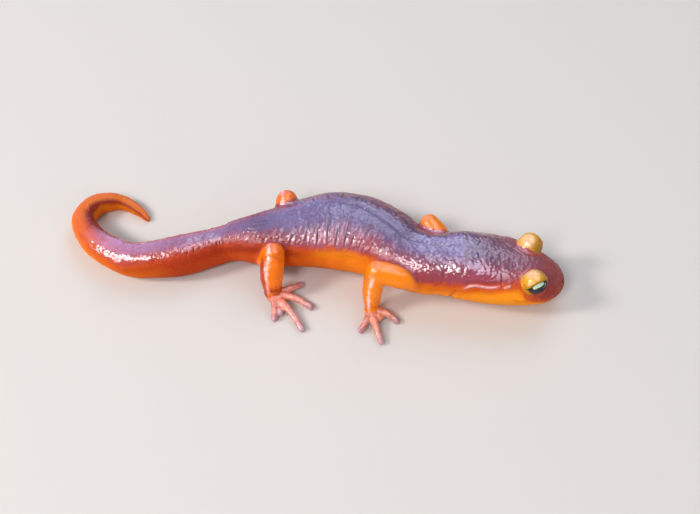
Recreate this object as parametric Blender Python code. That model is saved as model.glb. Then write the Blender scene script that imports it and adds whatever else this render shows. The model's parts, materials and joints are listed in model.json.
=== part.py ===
"""A life-size still model of a yellow-eyed ensatina, a stout lungless salamander, on four spread feet.

Every size is in millimetres and becomes metres when a mesh is made. +X points where the snout
points, +Y is the animal's left and +Z is up. The origin lies on the floor, in the middle of the
flat on which the belly rests.
"""

import math

import bmesh
import bpy
import numpy as np
from mathutils import Matrix, Vector

MM = 0.001
GAP = 0.3
FLOOR_REACH = 90.0
FLOOR_DEPTH = 6.0
UP = Vector((0.0, 0.0, 1.0))

# The midline of head, body and tail: place of the middle of each cross-section, its half width
# and its half height. The tail lies in a hook, and the trunk bends towards the animal's left.
STATIONS = (
    # name, x, y, z, half width, half height
    ("snout", 43.5, -10.9, 4.4, 4.9, 2.7),
    ("muzzle", 39.0, -10.95, 4.9, 5.7, 3.3),
    ("brow", 36.1, -10.7, 5.3, 6.6, 3.9),
    ("jaw", 30.4, -10.05, 5.9, 7.2, 4.7),
    ("nape", 24.7, -9.4, 6.4, 6.8, 5.3),
    ("neck", 20.0, -8.95, 6.3, 6.0, 5.3),
    ("shoulder", 17.2, -8.5, 6.1, 6.1, 5.3),
    ("chest", 13.4, -6.7, 5.9, 6.4, 5.4),
    ("ribs", 9.7, -3.5, 5.8, 7.5, 5.7),
    ("belly_front", 4.9, -0.9, 5.75, 8.3, 5.9),
    ("belly", 0.0, 0.0, 5.75, 8.4, 5.9),
    ("belly_back", -4.0, -0.3, 5.7, 7.6, 5.7),
    ("loin", -8.5, -1.1, 5.6, 6.4, 5.3),
    ("hips", -14.3, -1.7, 5.3, 5.3, 4.7),
    ("vent", -18.7, -1.6, 4.6, 4.05, 4.0),
    ("tail_neck", -22.2, -2.0, 3.75, 3.4, 3.65),
    ("tail_swell", -29.9, -4.8, 3.85, 3.75, 4.0),
    ("tail_middle", -38.1, -5.65, 3.4, 3.2, 3.5),
    ("tail_turn", -42.9, -3.8, 3.15, 2.95, 3.2),
    ("tail_bend", -47.8, 0.0, 2.8, 2.7, 2.9),
    ("tail_side", -51.0, 5.5, 2.35, 2.35, 2.5),
    ("tail_hook", -49.6, 9.9, 2.1, 2.1, 2.25),
    ("tail_back", -46.7, 11.3, 1.85, 1.85, 2.0),
    ("tail_fore", -43.7, 11.3, 1.4, 1.45, 1.5),
    ("tail_end", -40.4, 9.4, 0.9, 1.0, 1.0),
    ("tail_tip", -38.2, 7.3, 0.4, 0.45, 0.45),
)
SAMPLES_PER_SPAN = 16
TANGENT_REACH = 0.6

# Cross-sections are rounded boxes: 2 is an ellipse, and more is squarer.
SQUARENESS = 2.2
SNOUT_LENGTH = 4.6
SNOUT_ROUNDING = 1.7
SNOUT_RINGS = (0.12, 0.4, 0.85, 1.4, 2.1, 2.9)
TIP_ROUNDING = 0.9
TIP_RINGS = (0.6, 0.25)
TIP_END = 0.05

# Where the body is parted, as distances along the midline from the tip of the snout.
HEAD_END = 22.0
NECK_END = 26.3
SHOULDERS_END = 34.5
TRUNK_END = 57.0
HIPS_END = 66.5
TAIL_CUTS = (79.0, 91.0, 101.0, 111.0)
BODY_SIDES = 28
BODY_PITCH = 1.6
TAIL_SIDES = 20
TAIL_PITCH = 1.7
CORE_PITCH = 2.0
SHORTEST_STEP = 0.4

# Twelve costal grooves on each flank, between the armpit and the groin.
GROOVE_COUNT = 12
GROOVE_FIRST = 31.0
GROOVE_LAST = 58.5
GROOVE_DEPTH = 0.42
GROOVE_HALF_WIDTH = 0.75
GROOVE_TOP = math.radians(42.0)
GROOVE_BOTTOM = math.radians(128.0)
GROOVE_FADE = math.radians(16.0)
FAR_GROOVE_SHARE = 0.4

# Mouth, measured from the middle of the head's cross-sections.
MOUTH_FRONT = -0.7
MOUTH_MIDDLE = -0.2
MOUTH_CORNER = 0.5
MOUTH_LENGTH = 10.4
JAW_BACK_SLANT = 0.32
JAW_BLOCK_HALF_WIDTH = 12.0
JAW_BLOCK_BOTTOM = -9.0
JAW_BLOCK_FRONT = -2.0
JAW_BLOCK_RINGS = 12
HIGHEST_SHARE = 0.92
LIP_HEIGHT = 0.5
LIP_BULGE = 0.16
HEAD_START = 3.8
HEAD_PITCH = 1.05
HEAD_TOP_COLUMNS = 10
HEAD_LOW_COLUMNS = 6

# Folds of the neck: one along each side behind the eye, one down the cheek behind the jaw.
FOLD_DEPTH = 0.4
FOLD_HALF_WIDTH = 0.8
FAR_FOLD_SHARE = 0.4
SIDE_FOLD_START = 9.5
SIDE_FOLD_HEIGHT = 2.1
CHEEK_FOLD_AT = 13.2
CHEEK_FOLD_BOTTOM = -3.5
FOLD_FADE = 2.0

# Eyes: bulging domes of lid with a slit, and an eyeball inside.
EYE_AT = 6.95
EYE_SIDEWAYS = 4.6
EYE_HEIGHT = 3.3
EYE_FORWARD_TURN = math.radians(20.0)
EYE_UPWARD_TURN = math.radians(33.0)
SLIT_TILT = math.radians(28.0)
EYEBALL_RADIUS = 1.75
LID_THICKNESS = 0.46
LID_RADIUS = EYEBALL_RADIUS + GAP + LID_THICKNESS
SLIT_LENGTH = 3.9
SLIT_TOP = 0.6
SLIT_DROP = 1.75
SLIT_STEPS = 6
SLIT_DEPTHS = (0.35 * LID_RADIUS, 1.4 * LID_RADIUS)
NOSTRIL_AT = 0.95
NOSTRIL_SIDEWAYS = 1.75
NOSTRIL_HEIGHT = 1.15
NOSTRIL_RADIUS = 0.38

LIMB_SIDES = 14
LIMB_PITCH = 1.0
KNUCKLE = 1.6
KNUCKLE_ROOT = 0.88
KNUCKLE_TURNS = tuple(math.radians(turn) for turn in (25, 48, 68, 84))
FRONT_CORE = (HEAD_END - 3.0, TRUNK_END)
HIND_CORE = (SHOULDERS_END + 8.0, HIPS_END + 4.0)
# Each limb: points on its axis from the joint inside the body, with the radius there. The third
# point is the elbow or knee and the last the wrist or ankle.
LIMBS = {
    "front_right": (
        ("shoulder", 16.6, -12.0, 5.4, 2.4),
        ("upper", 12.4, -13.1, 7.6, 2.35),
        ("bend", 8.0, -12.5, 8.5, 2.1),
        ("lower", 7.1, -13.9, 5.2, 1.95),
        ("end", 7.0, -15.7, 1.8, 1.5),
    ),
    "front_left": (
        ("shoulder", 21.4, -5.6, 5.4, 2.4),
        ("upper", 20.0, -2.8, 7.2, 2.2),
        ("bend", 18.3, -0.8, 8.5, 2.0),
        ("lower", 18.8, 0.6, 5.2, 1.9),
        ("end", 19.3, 0.9, 1.8, 1.5),
    ),
    "hind_right": (
        ("hip", -15.6, -4.2, 4.9, 2.4),
        ("upper", -14.0, -6.4, 6.5, 2.4),
        ("bend", -11.5, -8.0, 8.2, 2.2),
        ("lower", -11.9, -10.5, 5.2, 2.25),
        ("end", -11.9, -11.8, 2.2, 1.75),
    ),
    "hind_left": (
        ("hip", -11.6, 1.0, 5.0, 2.5),
        ("upper", -9.9, 3.4, 6.9, 2.25),
        ("bend", -9.5, 5.1, 8.9, 2.15),
        ("lower", -9.7, 7.2, 5.6, 2.1),
        ("end", -10.1, 7.8, 2.2, 1.75),
    ),
}
# The tips of the digits on the floor, the innermost first.
DIGIT_TIPS = {
    "front_right": ((9.9, -16.4), (11.6, -18.1), (8.7, -22.9), (5.0, -20.1)),
    "front_left": ((22.4, -1.6), (25.2, -0.3), (24.8, 2.4), (21.0, 3.0)),
    "hind_right": ((-6.1, -9.2), (-4.4, -15.0), (-6.2, -20.4), (-10.1, -16.9), (-11.3, -18.2)),
    "hind_left": ((-5.8, 5.0), (-3.2, 6.6), (-2.8, 9.2), (-5.2, 10.9), (-8.8, 11.6)),
}
ANKLE_OVERLAP = 1.2
ANKLE_SIDES = 16
ANKLE_PITCH = 0.4
COLLAR_REACH = 6.0
PALM_REACH = 1.5
PALM_LENGTH = 2.3
PALM_HALF_WIDTH = 1.9
PALM_HEIGHT = 1.05
DIGIT_RADIUS = 0.78
DIGIT_WAIST = 0.58
DIGIT_TIP_RADIUS = 0.66
DIGIT_STEPS = 24
DIGIT_SIDES = 10
DIGIT_ARCH = 0.45
SOLE_FLAT = 0.16
SKIN_CELL = 0.17
FOOT_TRIANGLES = 620

COLOURS = {
    # name: colour, roughness
    "back": ((0.19, 0.065, 0.07), 0.3),
    "flank": ((0.52, 0.12, 0.03), 0.3),
    "limb": ((0.85, 0.25, 0.02), 0.32),
    "lid": ((0.85, 0.42, 0.06), 0.28),
    "jaw": ((0.86, 0.34, 0.03), 0.3),
    "eye": ((0.01, 0.01, 0.01), 0.05),
}


def catmull_rom(rows):
    """Points of a smooth curve through the rows, SAMPLES_PER_SPAN to a span."""
    rows = np.array(rows, float)
    padded = np.vstack([2 * rows[0] - rows[1], rows, 2 * rows[-1] - rows[-2]])
    made = []
    for i in range(1, len(padded) - 2):
        p0, p1, p2, p3 = padded[i - 1 : i + 3]
        for t in np.arange(SAMPLES_PER_SPAN) / SAMPLES_PER_SPAN:
            made.append(
                0.5 * (2 * p1 + (p2 - p0) * t + (2 * p0 - 5 * p1 + 4 * p2 - p3) * t**2
                       + (3 * p1 - p0 - 3 * p2 + p3) * t**3)
            )
    made.append(rows[-1])
    return np.array(made)


def with_lengths(points):
    """Distance along the first three columns of the points."""
    steps = np.linalg.norm(np.diff(points[:, :3], axis=0), axis=1)
    return np.concatenate([[0.0], np.cumsum(steps)])


SPINE = catmull_rom([station[1:] for station in STATIONS])
SPINE_LENGTHS = with_lengths(SPINE)
BODY_LENGTH = float(SPINE_LENGTHS[-1])


def spine_values(s):
    """x, y, z, half width and half height at distance s; the head's axis goes on past the snout."""
    values = np.array([np.interp(s, SPINE_LENGTHS, column) for column in SPINE.T])
    if s < 0:
        values[:3] += (SPINE[0, :3] - SPINE[4, :3]) / SPINE_LENGTHS[4] * -s
    return values


def spine_frame(s):
    """Middle of the cross-section at s, with the directions to the animal's left, up and head."""
    middle = Vector(spine_values(s)[:3])
    low = max(s - TANGENT_REACH, 0.0)
    high = min(s + TANGENT_REACH, BODY_LENGTH)
    heading = Vector(spine_values(low)[:3] - spine_values(high)[:3]).normalized()
    left = UP.cross(heading).normalized()
    return middle, left, heading.cross(left), heading


def smooth_step(value, low, high):
    t = min(max((value - low) / (high - low), 0.0), 1.0)
    return t * t * (3 - 2 * t)


def furrow(distance, half_width):
    """1 on a furrow's line and 0 from its half width on."""
    return max(0.0, 1 - abs(distance) / half_width)


def rounding(s):
    """Share of the full girth near the snout and the tail's tip, which close in a dome."""
    share = 1.0
    if s < SNOUT_LENGTH:
        along = max(s, SNOUT_RINGS[0]) / SNOUT_LENGTH
        share = (1 - (1 - along) ** SNOUT_ROUNDING) ** (1 / SNOUT_ROUNDING)
    left_over = BODY_LENGTH - s
    if left_over < TIP_ROUNDING:
        share *= math.sqrt(max(1 - (1 - left_over / TIP_ROUNDING) ** 2, 0.02))
    return share


def costal_groove(s, angle):
    """Depth of the costal grooves, which the bend of the trunk closes on the right side."""
    pitch = (GROOVE_LAST - GROOVE_FIRST) / (GROOVE_COUNT - 1)
    number = round(min(max((s - GROOVE_FIRST) / pitch, 0), GROOVE_COUNT - 1))
    across = furrow(s - GROOVE_FIRST - number * pitch, GROOVE_HALF_WIDTH)
    from_top = abs((angle + math.pi) % (2 * math.pi) - math.pi)
    window = smooth_step(from_top, GROOVE_TOP - GROOVE_FADE, GROOVE_TOP + GROOVE_FADE)
    window *= 1 - smooth_step(from_top, GROOVE_BOTTOM - GROOVE_FADE, GROOVE_BOTTOM + GROOVE_FADE)
    side_share = FAR_GROOVE_SHARE if math.sin(angle) > 0 else 1.0
    return GROOVE_DEPTH * across * window * side_share


def section_point(s, angle, grow=0.0, relief=0.0):
    """Point of the skin at distance s. The angle is 0 on the back and grows towards the left."""
    middle, left, up, _ = spine_frame(s)
    half_width, half_height = spine_values(s)[3:5] * rounding(s)
    power = 2 / SQUARENESS
    across = math.copysign(abs(math.sin(angle)) ** power, math.sin(angle))
    rise = math.copysign(abs(math.cos(angle)) ** power, math.cos(angle))
    return middle + left * across * (half_width + grow + relief) + up * rise * (half_height + grow + relief)


def mouth_height(s):
    """Height of the mouth's line over the middle of the head."""
    t = min(max(s / MOUTH_LENGTH, 0.0), 1.0)
    sag = 2 * MOUTH_MIDDLE - (MOUTH_FRONT + MOUTH_CORNER) / 2
    return MOUTH_FRONT * (1 - t) ** 2 + 2 * sag * t * (1 - t) + MOUTH_CORNER * t**2


def angle_at_height(s, height):
    """Angle on the left side where the head's cross-section has this height."""
    half_height = spine_values(s)[4] * rounding(s)
    share = min(max(height / half_height, -HIGHEST_SHARE), HIGHEST_SHARE)
    return math.acos(math.copysign(abs(share) ** (SQUARENESS / 2), share))


def head_fold(s, height):
    """Depth of the folds along the side of the neck and down behind the cheek."""
    along = furrow(height - SIDE_FOLD_HEIGHT, FOLD_HALF_WIDTH)
    along *= smooth_step(s, SIDE_FOLD_START, SIDE_FOLD_START + FOLD_FADE)
    along *= 1 - smooth_step(s, HEAD_END - 1, HEAD_END + FOLD_FADE)
    down = furrow(s - CHEEK_FOLD_AT, FOLD_HALF_WIDTH)
    down *= 1 - smooth_step(height, SIDE_FOLD_HEIGHT, SIDE_FOLD_HEIGHT + FOLD_FADE)
    down *= smooth_step(height, CHEEK_FOLD_BOTTOM, CHEEK_FOLD_BOTTOM + FOLD_FADE)
    return FOLD_DEPTH * max(along, down)


def head_ring(s):
    """Cross-section of the head, with columns that follow the line of the mouth."""
    parting = angle_at_height(s, mouth_height(s))
    lip = angle_at_height(s, mouth_height(s) + LIP_HEIGHT)
    chin_lip = angle_at_height(s, mouth_height(s) - LIP_HEIGHT)
    fade = smooth_step(s, 0.3, 1.5) * (1 - smooth_step(s, MOUTH_LENGTH - 2, MOUTH_LENGTH))
    half = [(angle, 0.0) for angle in np.linspace(0, lip, HEAD_TOP_COLUMNS)[:-1]]
    half += [(lip, LIP_BULGE * fade), (parting, 0.0), (chin_lip, -LIP_BULGE * fade)]
    half += [(angle, 0.0) for angle in np.linspace(chin_lip, math.pi, HEAD_LOW_COLUMNS)[1:]]
    around = half + [(2 * math.pi - angle, relief) for angle, relief in half[-2:0:-1]]
    middle, _, up, _ = spine_frame(s)
    ring = []
    for angle, relief in around:
        height = (section_point(s, angle) - middle).dot(up)
        share = FAR_FOLD_SHARE if math.sin(angle) > 0 else 1.0
        ring.append(section_point(s, angle, relief=relief - share * head_fold(s, height)))
    return ring


def body_ring(s, sides, grow=0.0, grooved=False):
    angles = [2 * math.pi * i / sides for i in range(sides)]
    return [
        section_point(s, angle, grow, -costal_groove(s, angle) if grooved else 0.0)
        for angle in angles
    ]


def loft(name, rings, colour):
    """Closed object through rings of points, with flat ends."""
    mesh = bpy.data.meshes.new(name)
    shape = bmesh.new()
    rows = [[shape.verts.new(point * MM) for point in ring] for ring in rings]
    for row, following in zip(rows, rows[1:]):
        for i in range(len(row)):
            j = (i + 1) % len(row)
            shape.faces.new((row[i], row[j], following[j], following[i]))
    shape.faces.new(rows[0])
    shape.faces.new(rows[-1])
    bmesh.ops.recalc_face_normals(shape, faces=shape.faces)
    shape.to_mesh(mesh)
    shape.free()
    return place(name, mesh, colour)


def place(name, mesh, colour):
    made = bpy.data.objects.new(name, mesh)
    bpy.context.scene.collection.objects.link(made)
    if colour:
        mesh.materials.append(material(colour))
    return made


def material(name):
    found = bpy.data.materials.get(name)
    if found:
        return found
    colour, roughness = COLOURS[name]
    made = bpy.data.materials.new(name)
    made.use_nodes = True
    shader = made.node_tree.nodes["Principled BSDF"]
    shader.inputs["Base Color"].default_value = (*colour, 1.0)
    shader.inputs["Roughness"].default_value = roughness
    return made


def ball(name, centre, radius, colour=None, divisions=3):
    mesh = bpy.data.meshes.new(name)
    shape = bmesh.new()
    bmesh.ops.create_icosphere(
        shape, subdivisions=divisions, radius=radius * MM, matrix=Matrix.Translation(centre * MM)
    )
    shape.to_mesh(mesh)
    shape.free()
    return place(name, mesh, colour)


def boolean(target, tool, operation):
    """Applies one exact Boolean and removes the tool."""
    modifier = target.modifiers.new(operation, "BOOLEAN")
    modifier.operation = operation
    modifier.solver = "EXACT"
    modifier.object = tool
    apply_modifier(target, modifier)
    bpy.data.objects.remove(tool)
    keep_largest(target)
    return target


def keep_largest(target):
    """Drops loose scraps that a cut leaves."""
    shape = bmesh.new()
    shape.from_mesh(target.data)
    bmesh.ops.remove_doubles(shape, verts=shape.verts, dist=1e-3 * MM)
    left = set(shape.faces)
    islands = []
    while left:
        island, border = set(), [left.pop()]
        while border:
            face = border.pop()
            island.add(face)
            for edge in face.edges:
                for other in edge.link_faces:
                    if other in left:
                        left.discard(other)
                        border.append(other)
        islands.append(island)
    largest = max(islands, key=len)
    scraps = [face for island in islands if island is not largest for face in island]
    bmesh.ops.delete(shape, geom=scraps, context="FACES")
    shape.to_mesh(target.data)
    shape.free()


def trim_to_floor(target):
    """Cuts off what would reach under the floor, which leaves small flats to rest on."""
    reach, depth = FLOOR_REACH, FLOOR_DEPTH
    rings = [
        [Vector((x, y, z)) for x, y in ((-reach, -reach), (reach, -reach), (reach, reach), (-reach, reach))]
        for z in (-depth, 0.0)
    ]
    return boolean(target, loft("floor_cutter", rings, None), "DIFFERENCE")


def lengths_between(start, end, pitch):
    count = max(2, round((end - start) / pitch) + 1)
    return [float(s) for s in np.linspace(start, end, count)]


def groove_lengths(start, end):
    """Cross-sections at both edges and the bottom of each groove, and others where it is plain."""
    pitch = (GROOVE_LAST - GROOVE_FIRST) / (GROOVE_COUNT - 1)
    found = []
    for number in range(GROOVE_COUNT):
        middle = GROOVE_FIRST + number * pitch
        found += [middle - GROOVE_HALF_WIDTH, middle, middle + GROOVE_HALF_WIDTH]
    inner = sorted(s for s in found if start + SHORTEST_STEP < s < end - SHORTEST_STEP)
    filled = [start]
    for s in inner + [end]:
        steps = max(1, round((s - filled[-1]) / BODY_PITCH))
        filled += list(np.linspace(filled[-1], s, steps + 1)[1:])
    return filled


def jaw_volume(grow):
    """Block under the line of the mouth that parts the lower jaw from the head."""
    rings = []
    for s in np.linspace(JAW_BLOCK_FRONT, MOUTH_LENGTH + grow, JAW_BLOCK_RINGS):
        _, left, up, heading = spine_frame(max(s, 0.0))
        middle = Vector(spine_values(s)[:3])
        top = mouth_height(s) + grow
        slant = JAW_BACK_SLANT * max(s, 0.0) / MOUTH_LENGTH * (top - JAW_BLOCK_BOTTOM)
        high = middle + up * top
        low = middle + up * JAW_BLOCK_BOTTOM - heading * slant
        aside = left * JAW_BLOCK_HALF_WIDTH
        rings.append([high - aside, low - aside, low + aside, high + aside])
    return loft("jaw_block", rings, None)


def make_head():
    lengths = list(SNOUT_RINGS) + lengths_between(HEAD_START, HEAD_END - GAP / 2, HEAD_PITCH)
    rings = [head_ring(s) for s in lengths]
    head = loft("head", rings, "back")
    jaw = loft("lower_jaw", rings, "jaw")
    boolean(jaw, jaw_volume(-GAP / 2), "INTERSECT")
    boolean(head, jaw_volume(GAP / 2), "DIFFERENCE")
    middle, left, up, _ = spine_frame(NOSTRIL_AT)
    for side in (1, -1):
        centre = middle + left * side * NOSTRIL_SIDEWAYS + up * NOSTRIL_HEIGHT
        boolean(head, ball("nostril", centre, NOSTRIL_RADIUS, divisions=2), "DIFFERENCE")
    for side, word in ((1, "left"), (-1, "right")):
        make_eye(head, side, word)


def eye_frame(side):
    """Middle of an eye, with the directions it looks in, along its slit forwards, and over it."""
    middle, left, up, heading = spine_frame(EYE_AT)
    centre = middle + left * side * EYE_SIDEWAYS + up * EYE_HEIGHT
    level = left * side * math.cos(EYE_FORWARD_TURN) + heading * math.sin(EYE_FORWARD_TURN)
    gaze = (level * math.cos(EYE_UPWARD_TURN) + up * math.sin(EYE_UPWARD_TURN)).normalized()
    forwards = (heading - gaze * heading.dot(gaze)).normalized()
    over = (up - gaze * up.dot(gaze) - forwards * up.dot(forwards)).normalized()
    tilted = forwards * math.cos(SLIT_TILT) + over * math.sin(SLIT_TILT)
    return centre, gaze, tilted, (over * math.cos(SLIT_TILT) - forwards * math.sin(SLIT_TILT))


def slit_outline():
    """The opening between the lids, along it and over it, with both ends at height 0."""
    shares = [i / SLIT_STEPS for i in range(SLIT_STEPS + 1)]
    upper = [(SLIT_LENGTH * (t - 0.5), SLIT_TOP * math.sin(math.pi * t)) for t in shares]
    lower = [(SLIT_LENGTH * (0.5 - t), -SLIT_DROP * math.sin(math.pi * t)) for t in shares[1:-1]]
    return upper + lower


def make_eye(head, side, word):
    """Seat in the head, lids with their slit round a hollow, and the eyeball in it."""
    centre, gaze, forwards, over = eye_frame(side)
    boolean(head, ball("seat", centre, LID_RADIUS + GAP), "DIFFERENCE")
    lids = ball(f"eyelids_{word}", centre, LID_RADIUS, "lid")
    rings = [
        [centre + gaze * depth + forwards * along + over * high for along, high in slit_outline()]
        for depth in SLIT_DEPTHS
    ]
    boolean(lids, loft("slit", rings, None), "DIFFERENCE")
    boolean(lids, ball("hollow", centre, EYEBALL_RADIUS + GAP), "DIFFERENCE")
    ball(f"eyeball_{word}", centre, EYEBALL_RADIUS, "eye")


def make_body():
    """Neck, shoulders, trunk and hips, with the costal grooves, and the tail in five lengths."""
    cuts = (HEAD_END, NECK_END, SHOULDERS_END, TRUNK_END, HIPS_END)
    names = ("neck", "shoulders", "trunk", "hips")
    for name, start, end in zip(names, cuts, cuts[1:]):
        lengths = groove_lengths(start + GAP / 2, end - GAP / 2)
        rings = [body_ring(s, BODY_SIDES, grooved=True) for s in lengths]
        trim_to_floor(loft(name, rings, "back" if name == "neck" else "flank"))
    cuts = (HIPS_END, *TAIL_CUTS, BODY_LENGTH - TIP_END + GAP / 2)
    names = ("tail_base", "tail_middle", "tail_bend", "tail_hook", "tail_tip")
    for name, start, end in zip(names, cuts, cuts[1:]):
        lengths = lengths_between(start + GAP / 2, end - GAP / 2, TAIL_PITCH)
        if name == "tail_tip":
            lengths[-1:-1] = [BODY_LENGTH - left_over for left_over in TIP_RINGS]
        trim_to_floor(loft(name, [body_ring(s, TAIL_SIDES) for s in lengths], "flank"))


def body_core(start, end):
    """The body's outer shape grown by the gap, which cuts the roots of the limbs."""
    lengths = lengths_between(start, end, CORE_PITCH)
    return loft("body_core", [body_ring(s, BODY_SIDES, grow=GAP) for s in lengths], None)


def cross_directions(along, reference):
    """Two directions across a tube, the first as near as can be to the reference."""
    side = (reference - along * reference.dot(along)).normalized()
    return side, side.cross(along)


def circle(centre, side, over, radius, sides):
    turns = (2 * math.pi * i / sides for i in range(sides))
    return [centre + (side * math.cos(turn) + over * math.sin(turn)) * radius for turn in turns]


def tube_rings(points, lengths, reference, sides, start, end, pitch, grow=0.0):
    """Circles round a curve of x, y, z and radius, between two distances along it."""
    rings = []
    for s in lengths_between(start, end, pitch):
        x, y, z, radius = (float(np.interp(s, lengths, column)) for column in points.T)
        stops = min(s + TANGENT_REACH, lengths[-1]), max(s - TANGENT_REACH, 0.0)
        ahead, behind = ([np.interp(stop, lengths, c) for c in points[:, :3].T] for stop in stops)
        along = (Vector(ahead) - Vector(behind)).normalized()
        side, over = cross_directions(along, reference)
        rings.append(circle(Vector((x, y, z)), side, over, radius + grow, sides))
    return rings


def rounded_end(points, reference, radius, sides):
    """Rings of a dome that closes a tube which ends at its centre."""
    centre = Vector(points[-1, :3])
    along = (centre - Vector(points[-4, :3])).normalized()
    side, over = cross_directions(along, reference)
    rings = []
    for turn in KNUCKLE_TURNS:
        middle = centre + along * radius * math.sin(turn)
        rings.append(circle(middle, side, over, radius * math.cos(turn), sides))
    return rings


def make_limb(limb, rows):
    """Upper part with its rounded elbow or knee, lower part, and hand or foot."""
    front = limb.startswith("front")
    names = ("upper_arm", "forearm", "hand") if front else ("thigh", "shin", "foot")
    core = FRONT_CORE if front else HIND_CORE
    upper = catmull_rom([row[1:] for row in rows[:3]])
    lower = catmull_rom([row[1:] for row in rows[2:]])
    upper_lengths = with_lengths(upper)
    lower_lengths = with_lengths(lower)
    root, bend, end = (Vector(row[1:4]) for row in (rows[0], rows[2], rows[4]))
    hinge = (bend - root).cross(end - bend).normalized()

    def upper_shape(name, grow, colour):
        stop = upper_lengths[-1]
        rings = tube_rings(upper, upper_lengths, hinge, LIMB_SIDES, 0.0, stop, LIMB_PITCH, grow)
        rings += rounded_end(upper, hinge, upper[-1, 3] + grow, LIMB_SIDES)
        return loft(name, rings, colour)

    made = upper_shape(f"{limb}_{names[0]}", 0.0, "limb")
    stub = lower.copy()
    stub[:, 3] *= np.interp(lower_lengths, (0.0, KNUCKLE), (KNUCKLE_ROOT, 1.0))
    stop = KNUCKLE - GAP / 2
    rings = tube_rings(stub, lower_lengths, hinge, LIMB_SIDES, 0.0, stop, LIMB_PITCH)
    boolean(made, loft("stub", rings, None), "UNION")
    boolean(made, body_core(*core), "DIFFERENCE")
    start, stop = KNUCKLE + GAP / 2, lower_lengths[-1] - GAP / 2
    rings = tube_rings(lower, lower_lengths, hinge, LIMB_SIDES, start, stop, LIMB_PITCH)
    shank = loft(f"{limb}_{names[1]}", rings, "limb")
    boolean(shank, upper_shape("socket", GAP, None), "DIFFERENCE")
    boolean(shank, body_core(*core), "DIFFERENCE")
    make_foot(f"{limb}_{names[2]}", lower, DIGIT_TIPS[limb])


def make_foot(name, points, tips):
    """Ankle, palm and digits, fused under one skin and cut flat at the ankle and the floor."""
    wrist = Vector(points[-1, :3])
    radius = points[-1, 3]
    down = (wrist - Vector(points[-4, :3])).normalized()
    outward = sum((Vector((x, y, 0.0)) for x, y in tips), Vector()) / len(tips) - wrist
    outward.z = 0.0
    outward.normalize()
    across = outward.cross(UP)
    heel = Vector((wrist.x, wrist.y, PALM_HEIGHT))
    palm = heel + outward * PALM_REACH
    ankle = catmull_rom([
        (*(wrist - down * ANKLE_OVERLAP), radius),
        (*(wrist + down * GAP), radius),
        (*(heel + outward * GAP), 0.92 * radius),
        (*palm, 0.8 * PALM_HEIGHT),
    ])
    lengths = with_lengths(ankle)
    rings = tube_rings(ankle, lengths, across, ANKLE_SIDES, 0.0, lengths[-1], ANKLE_PITCH)
    pieces = [loft("ankle", rings, None), make_palm(palm, outward, across)]
    for x, y in tips:
        tip = Vector((x, y, DIGIT_TIP_RADIUS - SOLE_FLAT))
        pieces.append(make_digit(palm - outward * GAP, tip))
    foot = fuse(name, pieces, "limb")
    collar = [
        [wrist + down * reach + corner for corner in square_corners(down, COLLAR_REACH)]
        for reach in (GAP / 2, -COLLAR_REACH)
    ]
    boolean(foot, loft("collar", collar, None), "DIFFERENCE")
    trim_to_floor(foot)


def make_palm(centre, outward, across):
    """A flattened ball."""
    pad = ball("palm", Vector(), 1.0)
    sizes = outward * PALM_LENGTH, across * PALM_HALF_WIDTH, UP * PALM_HEIGHT
    for vertex in pad.data.vertices:
        offset = sum((size * share for size, share in zip(sizes, vertex.co)), Vector())
        vertex.co = centre * MM + offset
    return pad


def square_corners(axis, reach):
    side = axis.cross(Vector((0.0, 1.0, 0.0))).normalized() * reach
    over = axis.cross(side).normalized() * reach
    return side + over, over - side, -side - over, side - over


def fuse(name, pieces, colour):
    """One skin over closed pieces that overlap."""
    mesh = bpy.data.meshes.new(name)
    shape = bmesh.new()
    for piece in pieces:
        shape.from_mesh(piece.data)
    shape.to_mesh(mesh)
    shape.free()
    for piece in pieces:
        bpy.data.objects.remove(piece)
    made = place(name, mesh, colour)
    skin = made.modifiers.new("skin", "REMESH")
    skin.mode = "VOXEL"
    skin.voxel_size = SKIN_CELL * MM
    apply_modifier(made, skin)
    thin = made.modifiers.new("thin", "DECIMATE")
    thin.ratio = FOOT_TRIANGLES / (2 * len(made.data.polygons))
    apply_modifier(made, thin)
    return made


def apply_modifier(target, modifier):
    with bpy.context.temp_override(object=target, active_object=target):
        bpy.ops.object.modifier_apply(modifier=modifier.name)


def make_digit(root, tip):
    """A finger or toe: a tapered tube with an arched back and a rounded, slightly swollen tip."""
    rings = []
    side = (tip - root).cross(UP).normalized()
    stops = (0.0, 0.3, 0.75, 0.92, 1.0)
    sizes = (DIGIT_RADIUS, DIGIT_RADIUS, DIGIT_WAIST, DIGIT_TIP_RADIUS, DIGIT_TIP_RADIUS)
    for t in np.linspace(0.0, 1.0, DIGIT_STEPS + 1):
        radius = np.interp(t, stops, sizes)
        radius *= math.sqrt(max(1 - max((t - 0.9) / 0.1, 0.0) ** 2, 0.02))
        arch = DIGIT_ARCH * math.sin(math.pi * min(t / 0.9, 1.0))
        rings.append(circle(root.lerp(tip, t) + UP * arch, side, UP, radius, DIGIT_SIDES))
    return loft("digit", rings, None)


def main():
    for old in list(bpy.data.objects):
        bpy.data.objects.remove(old)
    make_head()
    make_body()
    for limb, rows in LIMBS.items():
        make_limb(limb, rows)


main()
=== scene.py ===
# %% [markdown]
# # A life-size ensatina
# An ensatina is a stout lungless salamander of damp woods. This one lies half turned, with its
# tail in a hook: a purple-brown back, wine-red flanks, an orange belly, orange legs and two
# bulging yellow eyelids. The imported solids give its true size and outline. This notebook lays
# one wet skin over all of them, cuts the eyelids open, and lights it softly on a pale floor.

# %% Load the solids
import json
import math

import bmesh
import bpy
import numpy as np
from mathutils import Matrix, Vector, noise

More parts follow.
